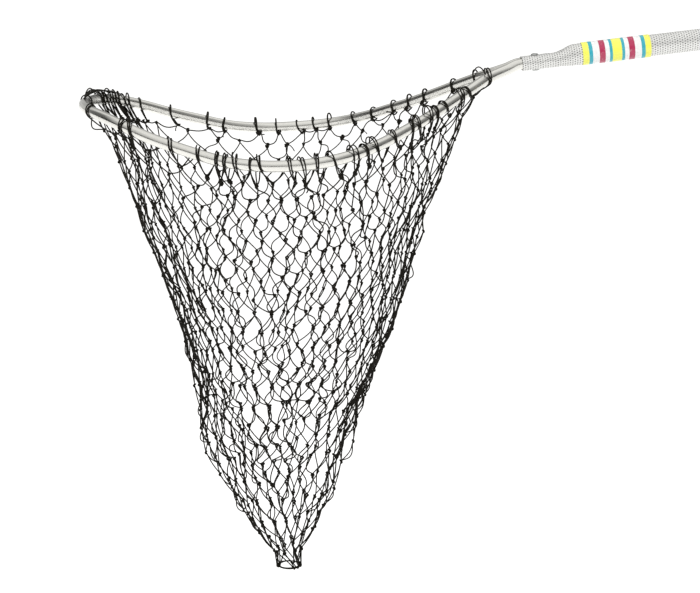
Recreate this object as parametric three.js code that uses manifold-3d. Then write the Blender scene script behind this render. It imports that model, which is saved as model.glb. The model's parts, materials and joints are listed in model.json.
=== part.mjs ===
// Wading net: a bowed teardrop hoop of bent aluminium tube, riveted into the pressed neck of a short
// embossed tube handle, with a long knotted twine bag hung from it by loops of its own twine.
// Millimetres, +Z up. The origin is the centre of the handle's flat butt end, and the hoop reaches
// out along -X. The bag hangs straight down.

import * as THREE from 'three';
import { ParametricGeometry } from 'three/addons/geometries/ParametricGeometry.js';
import { mergeVertices } from 'three/addons/utils/BufferGeometryUtils.js';
import Module from 'manifold-3d';

const wasm = await Module();
wasm.setup();

// ---------------------------------------------------------------- driving dimensions

const GAP = 0.35;               // air between pieces that bear on each other

const HOOP_TUBE = 12.7;         // outside diameter of the hoop's tube
const HOOP_REACH = 562;         // butt end back to the middle of the hoop, along X
const HOOP_DROP = 134;          // butt end down to the hoop's lowest stretch
const HOOP_SIDES = 16;
const HOOP_STEPS = 92;

const HANDLE_TUBE = 25.4;       // outside diameter of the handle's tube
const HANDLE_WALL = 1.2;
const HANDLE_LENGTH = 290;
const HANDLE_RISE = THREE.MathUtils.degToRad(6.7);
const HANDLE_SIDES = 24;
const BUTT_THICKNESS = 3;       // the handle's closed end
const BUTT_EDGE = 2;            // rounding of that end

const NECK_HEIGHT = 16.2;       // the pressed front of the handle, top to bottom
const NECK_LENGTH = 40;
const NECK_SHOULDER = 24;       // run from the pressed section back to the round one
const NECK_DROP = 3;            // the pressing sits below the tube's own axis
const NECK_FLATNESS = 2.6;      // how soon the pressed section turns from flat to round
const LEG_OFFSET = 7.2;         // each hoop leg's axis from the middle of the neck
const LEG_DEPTH = 34;           // leg inside the neck
const LEG_SHARES = [1, 0.6, 0.2, -0.12];  // points of a leg's axis, as shares of that depth

const RIVET_ALONG = 16.5;       // from the neck's mouth
const RIVET_SHANK = 4;
const RIVET_PLAY = 0.1;         // further room round the shank
const RIVET_HEAD = 9;
const RIVET_HEAD_HEIGHT = 2.2;

const LABEL_START = 72;         // from the neck's mouth
const LABEL_LENGTH = 81;
const LABEL_THICKNESS = 0.4;

const NET_THICKNESS = 1.6;      // the bag's sheet, as thick as its twine
const LOOP_WIDTH = 3;           // two strands side by side
const LOOP_THICKNESS = 1.5;
const LOOP_CLEARANCE = 1.3;     // loop to tube
const LOOP_TAIL = 14.8;         // tube axis down to the tip of each point of the sheet
const LOOP_ARC = { from: -30, to: 210, step: 48 };  // degrees of the stretch round the tube
const LOOP_POINT = 2;           // tube axis down to a loop's lowest point, in the loop's own radii
const NOTCH_DEPTH = 33;         // tube axis down to the bottom of the gap between two loops
const NOTCH_INSET = 0.965;      // those bottoms stand this much nearer the hoop's middle

const DRAW_RING_RADIUS = 13.2;
const DRAW_RING_TWINE = 2.6;    // the ring's two turns of twine together
const DRAW_RING_DROP = 526;     // below the hoop's lowest stretch
const DRAW_RING_ALONG = -5;     // from the middle of the hoop
const DRAW_RING_SIDES = 6;
const DRAW_RING_STEPS = 20;

// The hoop's centre line. Both sides of the hoop share these stations, which start at the handle.
const HOOP_STATIONS = [
  { along: 257, half_width: 9.5, rise: 91 },
  { along: 232, half_width: 22, rise: 81.5 },
  { along: 205, half_width: 51, rise: 68.5 },
  { along: 178, half_width: 79, rise: 55 },
  { along: 150, half_width: 107, rise: 41.5 },
  { along: 125, half_width: 131, rise: 31 },
  { along: 100, half_width: 154, rise: 21 },
  { along: 68, half_width: 177, rise: 11.5 },
  { along: 35, half_width: 190, rise: 5.5 },
  { along: 0, half_width: 194, rise: 2.5 },
  { along: -35, half_width: 189, rise: 2 },
  { along: -75, half_width: 177, rise: 6 },
  { along: -115, half_width: 162, rise: 16 },
  { along: -150, half_width: 146, rise: 26 },
  { along: -180, half_width: 127, rise: 36.5 },
  { along: -205, half_width: 104, rise: 45 },
  { along: -225, half_width: 75, rise: 50 },
  { along: -236, half_width: 43, rise: 52 },
  { along: -241, half_width: 0, rise: 52 },
];

// The box round the part of the hoop that the bag hangs from.
const HOOP_MIDDLE = 2;
const HOOP_HALF_LENGTH = 243;
const HOOP_HALF_WIDTH = 194;

// Where the bag's loops sit, by distance round the hoop from the neck's mouth on the near side.
const LOOP_RUNS = [
  { from: 45, to: 45, loops: 1 },
  { from: 93, to: 99, loops: 2 },
  { from: 134, to: 160, loops: 3 },
  { from: 184, to: 190, loops: 2 },
  { from: 224, to: 224, loops: 1 },
  { from: 258, to: 268, loops: 2 },
  { from: 283, to: 283, loops: 1 },
  { from: 312, to: 326, loops: 2 },
  { from: 344, to: 357, loops: 2 },
  { from: 394, to: 401, loops: 2 },
  { from: 421, to: 441, loops: 3 },
  { from: 465, to: 465, loops: 1 },
  { from: 498, to: 498, loops: 1 },
  { from: 556, to: 563, loops: 2 },
  { from: 628, to: 628, loops: 1 },
  { from: 716, to: 716, loops: 1 },
  { from: 766, to: 824, loops: 9 },
  { from: 842, to: 842, loops: 1 },
  { from: 888, to: 888, loops: 1 },
  { from: 937, to: 961, loops: 2 },
  { from: 1004, to: 1060, loops: 3 },
  { from: 1081, to: 1104, loops: 2 },
  { from: 1139, to: 1173, loops: 2 },
  { from: 1208, to: 1262, loops: 3 },
  { from: 1311, to: 1348, loops: 2 },
];

// Sections of the bag from the hoop down. rise_kept is the share of the hoop's own bow that a section
// follows, round goes from the hoop's outline (0) to an oval (1), and fold scales the folds.
const BAG_SECTIONS = [
  { drop: 44, rise_kept: 0.95, left: -212, right: 207, half_width: 173, round: 0.0, fold: 0.2 },
  { drop: 90, rise_kept: 0.83, left: -195, right: 188, half_width: 156, round: 0.2, fold: 0.6 },
  { drop: 142, rise_kept: 0.6, left: -173, right: 158, half_width: 139, round: 0.45, fold: 0.9 },
  { drop: 200, rise_kept: 0.35, left: -149, right: 134, half_width: 121, round: 0.7, fold: 1.0 },
  { drop: 260, rise_kept: 0.15, left: -128, right: 116, half_width: 105, round: 0.9, fold: 0.95 },
  { drop: 318, rise_kept: 0.05, left: -117, right: 86, half_width: 90, round: 1.0, fold: 0.85 },
  { drop: 372, rise_kept: 0, left: -104, right: 69, half_width: 76, round: 1.0, fold: 0.7 },
  { drop: 422, rise_kept: 0, left: -82, right: 51, half_width: 59, round: 1.0, fold: 0.5 },
  { drop: 466, rise_kept: 0, left: -60, right: 34, half_width: 41, round: 1.0, fold: 0.3 },
  { drop: 502, rise_kept: 0, left: -33, right: 17, half_width: 23, round: 1.0, fold: 0.12 },
  { drop: 523, rise_kept: 0, left: -19, right: 9, half_width: 13.5, round: 1.0, fold: 0 },
];

// Soft upright folds, by bearing round the bag in degrees (0 at the handle, 90 at the far side).
const FOLDS = [
  { bearing: 24, spread: 15, depth: 12, lean: 6 },
  { bearing: 62, spread: 11, depth: 7, lean: -8 },
  { bearing: 97, spread: 14, depth: 10, lean: 5 },
  { bearing: 131, spread: 10, depth: 8, lean: 9 },
  { bearing: 158, spread: 9, depth: 11, lean: -3 },
  { bearing: 205, spread: 10, depth: 12, lean: 4 },
  { bearing: 238, spread: 12, depth: 6, lean: -7 },
  { bearing: 274, spread: 13, depth: 8, lean: 6 },
  { bearing: 306, spread: 11, depth: 11, lean: -5 },
  { bearing: 333, spread: 12, depth: 14, lean: 3 },
];

// ---------------------------------------------------------------- solids

// A closed solid from any three.js geometry, with its seams welded.
function toSolid(geometry) {
  const bare = geometry.clone();
  bare.deleteAttribute('normal');
  bare.deleteAttribute('uv');
  const welded = mergeVertices(bare, 1e-4);
  const triangles = [];
  for (let i = 0; i < welded.index.count; i += 3) {
    const corners = [0, 1, 2].map((k) => welded.index.getX(i + k));
    if (new Set(corners).size === 3) triangles.push(...corners);
  }
  return new wasm.Manifold(new wasm.Mesh({
    numProp: 3,
    vertProperties: Float32Array.from(welded.attributes.position.array),
    triVerts: Uint32Array.from(triangles),
  }));
}

function toGeometry(solid) {
  const { vertProperties, triVerts } = solid.getMesh();
  const geometry = new THREE.BufferGeometry();
  geometry.setAttribute('position', new THREE.BufferAttribute(Float32Array.from(vertProperties), 3));
  geometry.setIndex(Array.from(triVerts));
  geometry.computeVertexNormals();
  return geometry;
}

// Moves every corner of a geometry by a function that changes the point it is given.
function reshape(geometry, move) {
  const place = geometry.attributes.position;
  const point = new THREE.Vector3();
  for (let i = 0; i < place.count; i += 1) {
    point.fromBufferAttribute(place, i);
    move(point);
    place.setXYZ(i, point.x, point.y, point.z);
  }
  return geometry;
}

function named(name, geometry, look) {
  const mesh = new THREE.Mesh(geometry, new THREE.MeshStandardMaterial(look));
  mesh.name = name;
  return mesh;
}

// ---------------------------------------------------------------- frames

// The hoop's own frame lies level under its middle; the handle's frame starts at the neck's mouth and
// runs up its axis.
const hoopFrame = new THREE.Group();
hoopFrame.position.set(-HOOP_REACH, 0, -HOOP_DROP);

const handleFrame = new THREE.Group();
handleFrame.rotation.y = -HANDLE_RISE;
handleFrame.position.set(-HANDLE_LENGTH * Math.cos(HANDLE_RISE), 0, -HANDLE_LENGTH * Math.sin(HANDLE_RISE));

hoopFrame.updateMatrixWorld();
handleFrame.updateMatrixWorld();
const handleToHoop = hoopFrame.matrixWorld.clone().invert().multiply(handleFrame.matrixWorld);

// ---------------------------------------------------------------- rivet

function rivetGeometry() {
  const shank = RIVET_SHANK / 2;
  const head = RIVET_HEAD / 2;
  const seat = NECK_HEIGHT / 2 + GAP;
  const top = seat + RIVET_HEAD_HEIGHT;
  const dome = (sign) => [
    new THREE.Vector2(0, sign * top),
    new THREE.Vector2(head * 0.5, sign * (seat + RIVET_HEAD_HEIGHT * 0.85)),
    new THREE.Vector2(head * 0.87, sign * (seat + RIVET_HEAD_HEIGHT * 0.45)),
    new THREE.Vector2(head, sign * seat),
    new THREE.Vector2(shank, sign * seat),
  ];
  const profile = [...dome(-1), ...dome(1).reverse()];
  return new THREE.LatheGeometry(profile, HANDLE_SIDES / 2).rotateX(Math.PI / 2);
}

// The hole for it, longer than the neck is high.
function rivetHole() {
  const wall = RIVET_SHANK / 2 + GAP + RIVET_PLAY;
  const drill = new THREE.CylinderGeometry(wall, wall, NECK_HEIGHT * 2, HANDLE_SIDES / 2);
  return drill.rotateX(Math.PI / 2).translate(RIVET_ALONG, 0, -NECK_DROP);
}

// ---------------------------------------------------------------- handle

// Presses the round tube flat over the two legs, from the mouth to the end of the shoulder. The sides
// stay half round, and the top and bottom lie flat between the legs' axes.
function pressNeck(point) {
  const past = THREE.MathUtils.smoothstep(point.x, NECK_LENGTH, NECK_LENGTH + NECK_SHOULDER);
  const radius = Math.hypot(point.y, point.z) - (HANDLE_TUBE - NECK_HEIGHT) / 2;
  const turn = Math.atan2(point.z, point.y);
  const fromLevel = Math.min(Math.abs(turn), Math.PI - Math.abs(turn));
  const reach = Math.min(Math.abs(Math.cos(turn)) * NECK_FLATNESS, 1) * LEG_OFFSET;
  const bend = Math.min(fromLevel / Math.acos(1 / NECK_FLATNESS), 1) * (Math.PI / 2);
  const side = Math.sign(Math.cos(turn)) * (reach + radius * Math.cos(bend));
  const height = Math.sign(turn) * radius * Math.sin(bend) - NECK_DROP;
  point.y = THREE.MathUtils.lerp(side, point.y, past);
  point.z = THREE.MathUtils.lerp(height, point.z, past);
}

function handleGeometry() {
  const outer = HANDLE_TUBE / 2;
  const inner = outer - HANDLE_WALL;
  const bends = [0, 0.25, 0.5, 0.75, 1].map((share) => NECK_LENGTH + share * NECK_SHOULDER);
  const profile = [
    new THREE.Vector2(0, HANDLE_LENGTH - BUTT_THICKNESS),
    new THREE.Vector2(inner, HANDLE_LENGTH - BUTT_THICKNESS),
    ...bends.slice().reverse().map((along) => new THREE.Vector2(inner, along)),
    new THREE.Vector2(inner, 0),
    new THREE.Vector2(outer, 0),
    ...bends.map((along) => new THREE.Vector2(outer, along)),
    new THREE.Vector2(outer, HANDLE_LENGTH - BUTT_EDGE),
    new THREE.Vector2(outer - BUTT_EDGE * 0.3, HANDLE_LENGTH - BUTT_EDGE * 0.3),
    new THREE.Vector2(outer - BUTT_EDGE, HANDLE_LENGTH),
    new THREE.Vector2(0, HANDLE_LENGTH),
  ];
  const tube = new THREE.LatheGeometry(profile, HANDLE_SIDES).rotateZ(-Math.PI / 2);
  reshape(tube, (point) => {
    // The two ends' middle points stay on the tube's axis.
    if (point.x < NECK_LENGTH + NECK_SHOULDER && Math.hypot(point.y, point.z) > 1) pressNeck(point);
  });
  return toGeometry(toSolid(tube).subtract(toSolid(rivetHole())));
}

// ---------------------------------------------------------------- label

function labelGeometry() {
  const inner = HANDLE_TUBE / 2 + GAP;
  const outer = inner + LABEL_THICKNESS;
  const end = LABEL_START + LABEL_LENGTH;
  const profile = [
    new THREE.Vector2(inner, LABEL_START),
    new THREE.Vector2(outer, LABEL_START),
    new THREE.Vector2(outer, end),
    new THREE.Vector2(inner, end),
    new THREE.Vector2(inner, LABEL_START),
  ];
  return new THREE.LatheGeometry(profile, HANDLE_SIDES).rotateZ(-Math.PI / 2);
}

// ---------------------------------------------------------------- hoop

// A point of one leg's axis inside or just ahead of the neck, in the hoop's frame.
function legPoint(along, side) {
  return new THREE.Vector3(along, side * LEG_OFFSET, -NECK_DROP).applyMatrix4(handleToHoop);
}

function hoopCurve() {
  const leg = (side) => LEG_SHARES.map((share) => legPoint(share * LEG_DEPTH, side));
  const stations = (side) => HOOP_STATIONS.map((s) => new THREE.Vector3(s.along, side * s.half_width, s.rise));
  const near = [...leg(-1), ...stations(-1)];
  const far = [...leg(1), ...stations(1).slice(0, -1)].reverse();
  const curve = new THREE.CatmullRomCurve3([...near, ...far]);
  curve.arcLengthDivisions = 1200;
  return curve;
}

const hoopLine = hoopCurve();

function hoopGeometry() {
  const section = new THREE.Shape();
  section.absarc(0, 0, HOOP_TUBE / 2, 0, Math.PI * 2);
  const tube = new THREE.ExtrudeGeometry(section, {
    steps: HOOP_STEPS,
    curveSegments: HOOP_SIDES / 2,
    extrudePath: hoopLine,
    bevelEnabled: false,
  });
  const drill = rivetHole().applyMatrix4(handleToHoop);
  return toGeometry(toSolid(tube).subtract(toSolid(drill)));
}

// ---------------------------------------------------------------- net bag

// Where each loop crosses the tube: the point on the hoop's line, the tube's direction and the
// direction square to it that points most nearly up.
function loopPlaces() {
  const distances = LOOP_RUNS.flatMap(({ from, to, loops }) =>
    Array.from({ length: loops }, (_, i) => from + (loops > 1 ? ((to - from) * i) / (loops - 1) : 0)));
  const run = hoopLine.getLength();
  return distances.map((distance) => {
    const share = (LEG_DEPTH + distance) / run;
    const along = hoopLine.getTangentAt(share);
    const out = new THREE.Vector3().crossVectors(along, new THREE.Vector3(0, 0, 1)).normalize();
    const up = new THREE.Vector3().crossVectors(out, along).normalize();
    return { point: hoopLine.getPointAt(share), along, out, up };
  });
}

const loops = loopPlaces();

// One doubled strand over the tube, drawn together to a point below it.
function loopSolid({ point, along, out, up }) {
  const inner = HOOP_TUBE / 2 + LOOP_CLEARANCE;
  const drop = (radius) => {
    const ring = [];
    for (let degrees = LOOP_ARC.from; degrees <= LOOP_ARC.to; degrees += LOOP_ARC.step) {
      const turn = THREE.MathUtils.degToRad(degrees);
      ring.push(new THREE.Vector2(radius * Math.cos(turn), radius * Math.sin(turn)));
    }
    ring.push(new THREE.Vector2(0, -LOOP_POINT * radius));
    return ring;
  };
  const outline = new THREE.Shape(drop(inner + LOOP_THICKNESS));
  outline.holes.push(new THREE.Path(drop(inner)));
  const loop = new THREE.ExtrudeGeometry(outline, { depth: LOOP_WIDTH, bevelEnabled: false });
  loop.translate(0, 0, -LOOP_WIDTH / 2);
  const stand = new THREE.Matrix4().makeBasis(out, up, new THREE.Vector3().crossVectors(out, up));
  return toSolid(loop.applyMatrix4(stand.setPosition(point)));
}

// The points of the sheet's top edge, one under each loop, with the foot of a gap after each.
function topEdge() {
  const edge = [];
  loops.forEach(({ point, up }, i) => {
    const next = loops[(i + 1) % loops.length].point;
    const foot = point.clone().add(next).multiplyScalar(0.5);
    const low = foot.clone().add(new THREE.Vector3(0, 0, -NOTCH_DEPTH));
    edge.push({ on_hoop: point, corner: point.clone().addScaledVector(up, -LOOP_TAIL) });
    edge.push({ on_hoop: foot, corner: low.multiply(new THREE.Vector3(NOTCH_INSET, NOTCH_INSET, 1)) });
  });
  return edge;
}

// How far the folds draw a section in at a bearing, low in the bag or high.
function foldDepth(bearing, depth_share) {
  return FOLDS.reduce((sum, fold) => {
    const centre = fold.bearing + fold.lean * depth_share;
    const off = Math.abs(THREE.MathUtils.euclideanModulo(bearing - centre + 180, 360) - 180);
    const swell = off < fold.spread ? 0.5 + 0.5 * Math.cos((Math.PI * off) / fold.spread) : 0;
    return sum + fold.depth * swell;
  }, 0);
}

// The point of a section straight below one point of the hoop.
function sectionPoint(section, on_hoop) {
  const plan = new THREE.Vector2((on_hoop.x - HOOP_MIDDLE) / HOOP_HALF_LENGTH, on_hoop.y / HOOP_HALF_WIDTH);
  const round = plan.clone().normalize();
  plan.lerp(round, section.round);
  const bearing = THREE.MathUtils.radToDeg(Math.atan2(plan.y, plan.x));
  const middle = (section.left + section.right) / 2;
  const spoke = new THREE.Vector2(plan.x * (section.right - section.left) / 2, plan.y * section.half_width);
  const inward = foldDepth(bearing, section.drop / DRAW_RING_DROP) * section.fold;
  spoke.setLength(spoke.length() - inward);
  return new THREE.Vector3(middle + spoke.x, spoke.y, section.rise_kept * on_hoop.z - section.drop);
}

function netSheet() {
  const edge = topEdge();
  const rows = [
    edge.map(({ corner }) => corner),
    ...BAG_SECTIONS.map((section) => edge.map(({ on_hoop }) => sectionPoint(section, on_hoop))),
  ];
  const columns = edge.length;
  const inner = rows.map((row, r) => row.map((point, c) => {
    const across = row[(c + 1) % columns].clone().sub(row[(c + columns - 1) % columns]);
    const down = rows[Math.min(r + 1, rows.length - 1)][c].clone().sub(rows[Math.max(r - 1, 0)][c]);
    const outward = across.cross(down).normalize();
    return point.clone().addScaledVector(outward, -NET_THICKNESS);
  }));
  const wall = [...rows, ...inner.reverse()];
  const surface = (u, v, target) => {
    const row = wall[Math.round(v * wall.length) % wall.length];
    target.copy(row[Math.round(u * columns) % columns]);
  };
  return toSolid(new ParametricGeometry(surface, columns, wall.length));
}

function netGeometry() {
  return toGeometry(wasm.Manifold.union([netSheet(), ...loops.map(loopSolid)]));
}

function drawRingGeometry() {
  return new THREE.TorusGeometry(DRAW_RING_RADIUS, DRAW_RING_TWINE / 2, DRAW_RING_SIDES, DRAW_RING_STEPS);
}

// ---------------------------------------------------------------- the net

const hoop = named('hoop', hoopGeometry(), { color: 0xc9ccca, roughness: 0.28, metalness: 1 });
const netBag = named('net_bag', netGeometry(), { color: 0x17150f, roughness: 0.85, metalness: 0 });
const drawRing = named('draw_ring', drawRingGeometry(), { color: 0x17150f, roughness: 0.85, metalness: 0 });
drawRing.position.set(DRAW_RING_ALONG, 0, -DRAW_RING_DROP);
hoopFrame.add(hoop, netBag, drawRing);

const handle = named('handle', handleGeometry(), { color: 0xe6e6e2, roughness: 0.45, metalness: 1 });
const label = named('label_band', labelGeometry(), { color: 0xf2e64a, roughness: 0.35, metalness: 0 });
const rivet = named('rivet', rivetGeometry(), { color: 0xb9bbb9, roughness: 0.35, metalness: 1 });
rivet.position.set(RIVET_ALONG, 0, -NECK_DROP);
handleFrame.add(handle, label, rivet);

const wadingNet = new THREE.Group();
wadingNet.add(hoopFrame, handleFrame);

export default wadingNet;
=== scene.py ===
"""Looks for the wading net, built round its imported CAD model.

The hoop, handle, rivet and label band are swept and turned. The bag is hung first: its knots settle
under the hoop, then every stretch of twine between two knots takes up its own curve.
Lengths below are in millimetres unless a name says otherwise; a property's length is in metres.
"""

import functools
import json
import math

import bpy
import numpy as np
from mathutils import Matrix, Vector


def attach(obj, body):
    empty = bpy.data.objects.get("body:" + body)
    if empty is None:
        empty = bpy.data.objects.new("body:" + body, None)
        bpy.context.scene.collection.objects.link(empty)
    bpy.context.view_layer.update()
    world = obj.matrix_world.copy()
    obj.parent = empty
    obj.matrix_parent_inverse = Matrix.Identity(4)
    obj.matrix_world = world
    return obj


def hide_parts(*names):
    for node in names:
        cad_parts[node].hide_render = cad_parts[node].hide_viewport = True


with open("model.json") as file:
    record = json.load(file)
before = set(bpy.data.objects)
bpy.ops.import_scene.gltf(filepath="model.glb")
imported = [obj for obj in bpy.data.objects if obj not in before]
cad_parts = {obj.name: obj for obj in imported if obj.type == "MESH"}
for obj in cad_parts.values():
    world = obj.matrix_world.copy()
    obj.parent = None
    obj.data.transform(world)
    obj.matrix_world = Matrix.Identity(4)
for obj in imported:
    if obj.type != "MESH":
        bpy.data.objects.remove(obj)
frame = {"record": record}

bl_info = {
    "name": "Wading Net",
    "version": (1, 0, 0),
    "blender": (4, 5, 0),
    "location": "View3D > Sidebar > Wading Net",
    "description": "Builds a wading net with a tube hoop, a short handle and a knotted twine bag",
    "category": "Add Mesh",
}

MM = 0.001
TAU = 2 * math.pi
UP = np.array([0.0, 0.0, 1.0])
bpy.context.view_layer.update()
SHARP_EDGE = math.radians(50)

# ---------------------------------------------------------------- sizes shared with the CAD model

HOOP_PLACE = np.array([-562.0, 0.0, -134.0])
HANDLE_LENGTH = 290.0
HANDLE_RISE = math.radians(6.7)
HANDLE_WALL = 1.2
BUTT_THICKNESS = 3.0
BUTT_EDGE = 2.0
NECK_HEIGHT = 16.2
NECK_LENGTH = 40.0
NECK_SHOULDER = 24.0
NECK_DROP = 3.0
NECK_FLATNESS = 2.6
LEG_OFFSET = 7.2
LEG_DEPTH = 34.0
RIVET_ALONG = 16.5
RIVET_SHANK = 2.0
RIVET_HEAD = 4.5
RIVET_HEAD_HEIGHT = 2.2
RIVET_RIM = 0.45             # height of the flat rim under the dome
RIVET_EDGE = 0.2
GAP = 0.35
LABEL_START = 72.0
LABEL_LENGTH = 81.0

# The hoop's centre line on one side, from the handle: along, half width and rise.
HOOP_STATIONS = (
    (257, 9.5, 91), (232, 22, 81.5), (205, 51, 68.5), (178, 79, 55), (150, 107, 41.5),
    (125, 131, 31), (100, 154, 21), (68, 177, 11.5), (35, 190, 5.5), (0, 194, 2.5),
    (-35, 189, 2), (-75, 177, 6), (-115, 162, 16), (-150, 146, 26), (-180, 127, 36.5),
    (-205, 104, 45), (-225, 75, 50), (-236, 43, 52), (-241, 0, 52),
)
HOOP_MIDDLE = 2.0
HOOP_HALF_LENGTH = 243.0
HOOP_HALF_WIDTH = 194.0

# Where the bag's loops sit, by distance round the hoop from the neck's mouth: from, to and how many.
LOOP_RUNS = (
    (45, 45, 1), (93, 99, 2), (134, 160, 3), (184, 190, 2), (224, 224, 1), (258, 268, 2), (283, 283, 1),
    (312, 326, 2), (344, 357, 2), (394, 401, 2), (421, 441, 3), (465, 465, 1), (498, 498, 1),
    (556, 563, 2), (628, 628, 1), (716, 716, 1), (766, 824, 9), (842, 842, 1), (888, 888, 1),
    (937, 961, 2), (1004, 1060, 3), (1081, 1104, 2), (1139, 1173, 2), (1208, 1262, 3), (1311, 1348, 2),
)

# Sections of the bag from the hoop down: drop, share of the hoop's bow kept, left, right, half width,
# how round (0 follows the hoop, 1 is an oval) and how deep the folds are.
BAG_SECTIONS = (
    (44, 0.95, -212, 207, 173, 0.0, 0.2), (90, 0.83, -195, 188, 156, 0.2, 0.6),
    (142, 0.6, -173, 158, 139, 0.45, 0.9), (200, 0.35, -149, 134, 121, 0.7, 1.0),
    (260, 0.15, -128, 116, 105, 0.9, 0.95), (318, 0.05, -117, 86, 90, 1.0, 0.85),
    (372, 0.0, -104, 69, 76, 1.0, 0.7), (422, 0.0, -82, 51, 59, 1.0, 0.5),
    (466, 0.0, -60, 34, 41, 1.0, 0.3), (502, 0.0, -33, 17, 23, 1.0, 0.12),
    (523, 0.0, -19, 9, 13.5, 1.0, 0.0),
)
BAG_DEPTH = 526.0

# Soft upright folds: bearing round the bag in degrees, spread, depth and lean.
FOLDS = (
    (24, 15, 12, 6), (62, 11, 7, -8), (97, 14, 10, 5), (131, 10, 8, 9), (158, 9, 11, -3),
    (205, 10, 12, 4), (238, 12, 6, -7), (274, 13, 8, 6), (306, 11, 11, -5), (333, 12, 14, 3),
)

FOLD_SHARE = 0.5             # the twine follows the solid's folds this far
RIM_SHARE = 0.965            # the bag hangs this far inside the hoop's line

DRAW_RING = np.array([-5.0, 0.0, -526.0])
DRAW_RING_RADIUS = 13.2

# ---------------------------------------------------------------- the handle's and the label's own facts

PIT_ROWS = 26                # round the handle
PIT_PITCH = 5.95             # between two pits of one row
PIT_SIDES = 6                # faces round the handle for each row of pits
PIT_STEPS = 11               # and along it for each pit
# The label's rings from either end to the middle one: width and which of its colours.
LABEL_RINGS = ((7.0, "ground"), (4.5, "line"), (8.0, "field"), (7.0, "accent"), (5.0, "field"), (3.5, "line"))
LABEL_MIDDLE = (11.0, "ground")
LAP_DEGREES = (246, 249, 261, 276)   # where the film laps over itself: rising from, to, falling from, to
LAP_RISE = 0.10

# ---------------------------------------------------------------- the netting's own facts

# Knots in each row, from the loops down. Where a row has fewer, two meshes are joined in one knot,
# and where it has more, an extra mesh hangs from a knot.
ROW_KNOTS = (52, 52, 52, 52, 52, 52, 52, 51, 50, 49, 47, 45, 42, 38, 34, 30, 26, 22, 18, 13, 9)
FIRST_DROP = 25.0            # hoop's line down to the first knots
NECK_LIFT = 10.0             # the first knots beside the neck hang higher by this
KNOT_HEIGHT = 2.4            # between the twine's ends above and below a knot
KNOT_SPLAY = 0.9             # each end from the middle of its knot
LOOP_CLEAR = 0.75            # tube's surface to the middle of a loop's strand
LOOP_KNOT_REACH = 29.0       # from a loop to the first knots beside it
HITCH_TURN = math.radians(140)   # where a far loop is tied, round the tube from its top to its inside
HITCH_CLEAR = 2.4            # tube's surface to the middle of that knot
# Single stretches of twine that lie across from one place on the hoop to another: from, to, how much
# longer than straight, and how steeply they rise.
STRETCHES = (
    (700, 752, 1.08, 1.8), (692, 768, 1.03, 0.9), (705, 779, 1.025, 0.7), (688, 790, 1.02, 0.6),
    (709, 801, 1.02, 0.5), (697, 812, 1.015, 0.5), (1344, 50, 1.05, 0.8),
)
# How far each far loop's knot hangs below its place, how far the loop leans along the tube and how far it
# is turned, by distance.
FAR_HANG = ((716, 766, 824, 842, 888, 937, 1000), (2, 15, 18, 13, 6, 2, 0))
FAR_LEAN = ((716, 766, 800, 842, 888, 937, 1060, 1173, 1348), (-6, -8, -9, -7, -5, -4, -3, 2, 2))
FAR_TURN = ((888, 980), (0, 0.4))
LAST_REACH = 26.0            # from a last knot to the middle of the draw ring
LAST_REST = 2.0              # from the ring's middle line to the last meshes that hang on it
SLID = 20.0                  # degrees that the last meshes have turned round the ring
SLID_APART = 130.0           # beyond this bearing they have slid to the ring's end on the hoop's tip side
RING_TURNS = 2.02            # the draw ring's twine goes round this often
RING_STEP = 1.7              # and each turn lies this far outside the last
RING_KNOTS = (-14, -2, 12, 190)      # bearings of the draw ring's knots
RING_TAILS = (0, 3)          # which of them have a loose end
# How far the twine stands out from the bag's plain form, by row, under the hoop's tip, under the neck
# and along both sides.
TIP_SWELL = (
    (0, 1, 3, 6, 9, 10, 12, 13, 14, 15, 16, 17, 18, 19, 21),
    (-4, -6, -2, -5, -5, -5, -3, -3, 1, 3, 0, -4, -4, -3, 0))
NECK_SWELL = (
    (0, 1, 2, 3, 5, 8, 10, 12, 14, 16, 17, 18, 19, 21),
    (0, 2, 9, 7, 0, 4, 2, -7, -4, -5, 2, 0, 4, 0))
SIDE_SWELL = ((14, 17, 19, 21), (0, 3.5, 4.5, 0))
# The rest of the bag's habits by row: how many degrees its meshes turn towards its ends, how uneven their
# knots lie, how much they bunch under the neck, the least room between two knots of a row, the least share
# of a bar between two knots, how much longer the bars are, how they sag and how large the knots are.
CROWDING = ((0, 5, 12, 16, 21), (0, -6, -4, 6, 7))
UNEVENNESS = ((0, 2, 11, 14, 19, 21), (2.8, 3.8, 3.4, 4.6, 4.2, 1.5))
BUNCHING = ((0, 1, 6, 10), (0.4, 1, 1, 0))
KNOT_ROOM = ((0, 12, 20), (10, 8.5, 4.0))
LEAST_BAR = ((0, 8, 14, 20), (0.85, 0.83, 0.66, 0.64))
BAR_SLACK = ((0, 9, 14, 20), (1, 1, 1.10, 1.09))
BAR_SAG = ((0, 9, 15), (0.1, 0.3, 0.9))
KNOT_SIZES = ((0, 8, 14, 20), (1.02, 1.05, 1.22, 1.2))
DOUBLED_KNOTS = 0.6          # share of the first knots that are tied twice
TRIPLED_KNOTS = 0.35         # and of those, the share tied three times
SETTLING_ROUNDS = 700

# ---------------------------------------------------------------- the stage's own facts, in metres

FLOOR_LEVEL = -1.2           # the net hangs from its handle, clear of the floor
FLOOR_HALF = 90.0
BACKDROP_RADIUS = 30.0
BACKDROP_TOP = 25.0
BACKDROP_SIDES = 64
PALE = (1, 1, 0.99, 1)       # what the floor and the backdrop glow with
CAMERA_PLACE = (-0.562, -2.0172, 0.112)
CAMERA_YAW = math.radians(2.028)
CAMERA_PITCH = math.radians(12.0)
LAMP_AIM = (-0.45, 0, -0.25)
# Square lamps: name, place, side and power.
LAMPS = (
    ("key", (-1.6, -1.8, 1.7), 2.2, 46.0),
    ("fill", (1.5, -1.6, 1.2), 1.6, 16.0),
    ("back", (-0.4, 1.9, 1.6), 2.0, 24.0),
)
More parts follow.
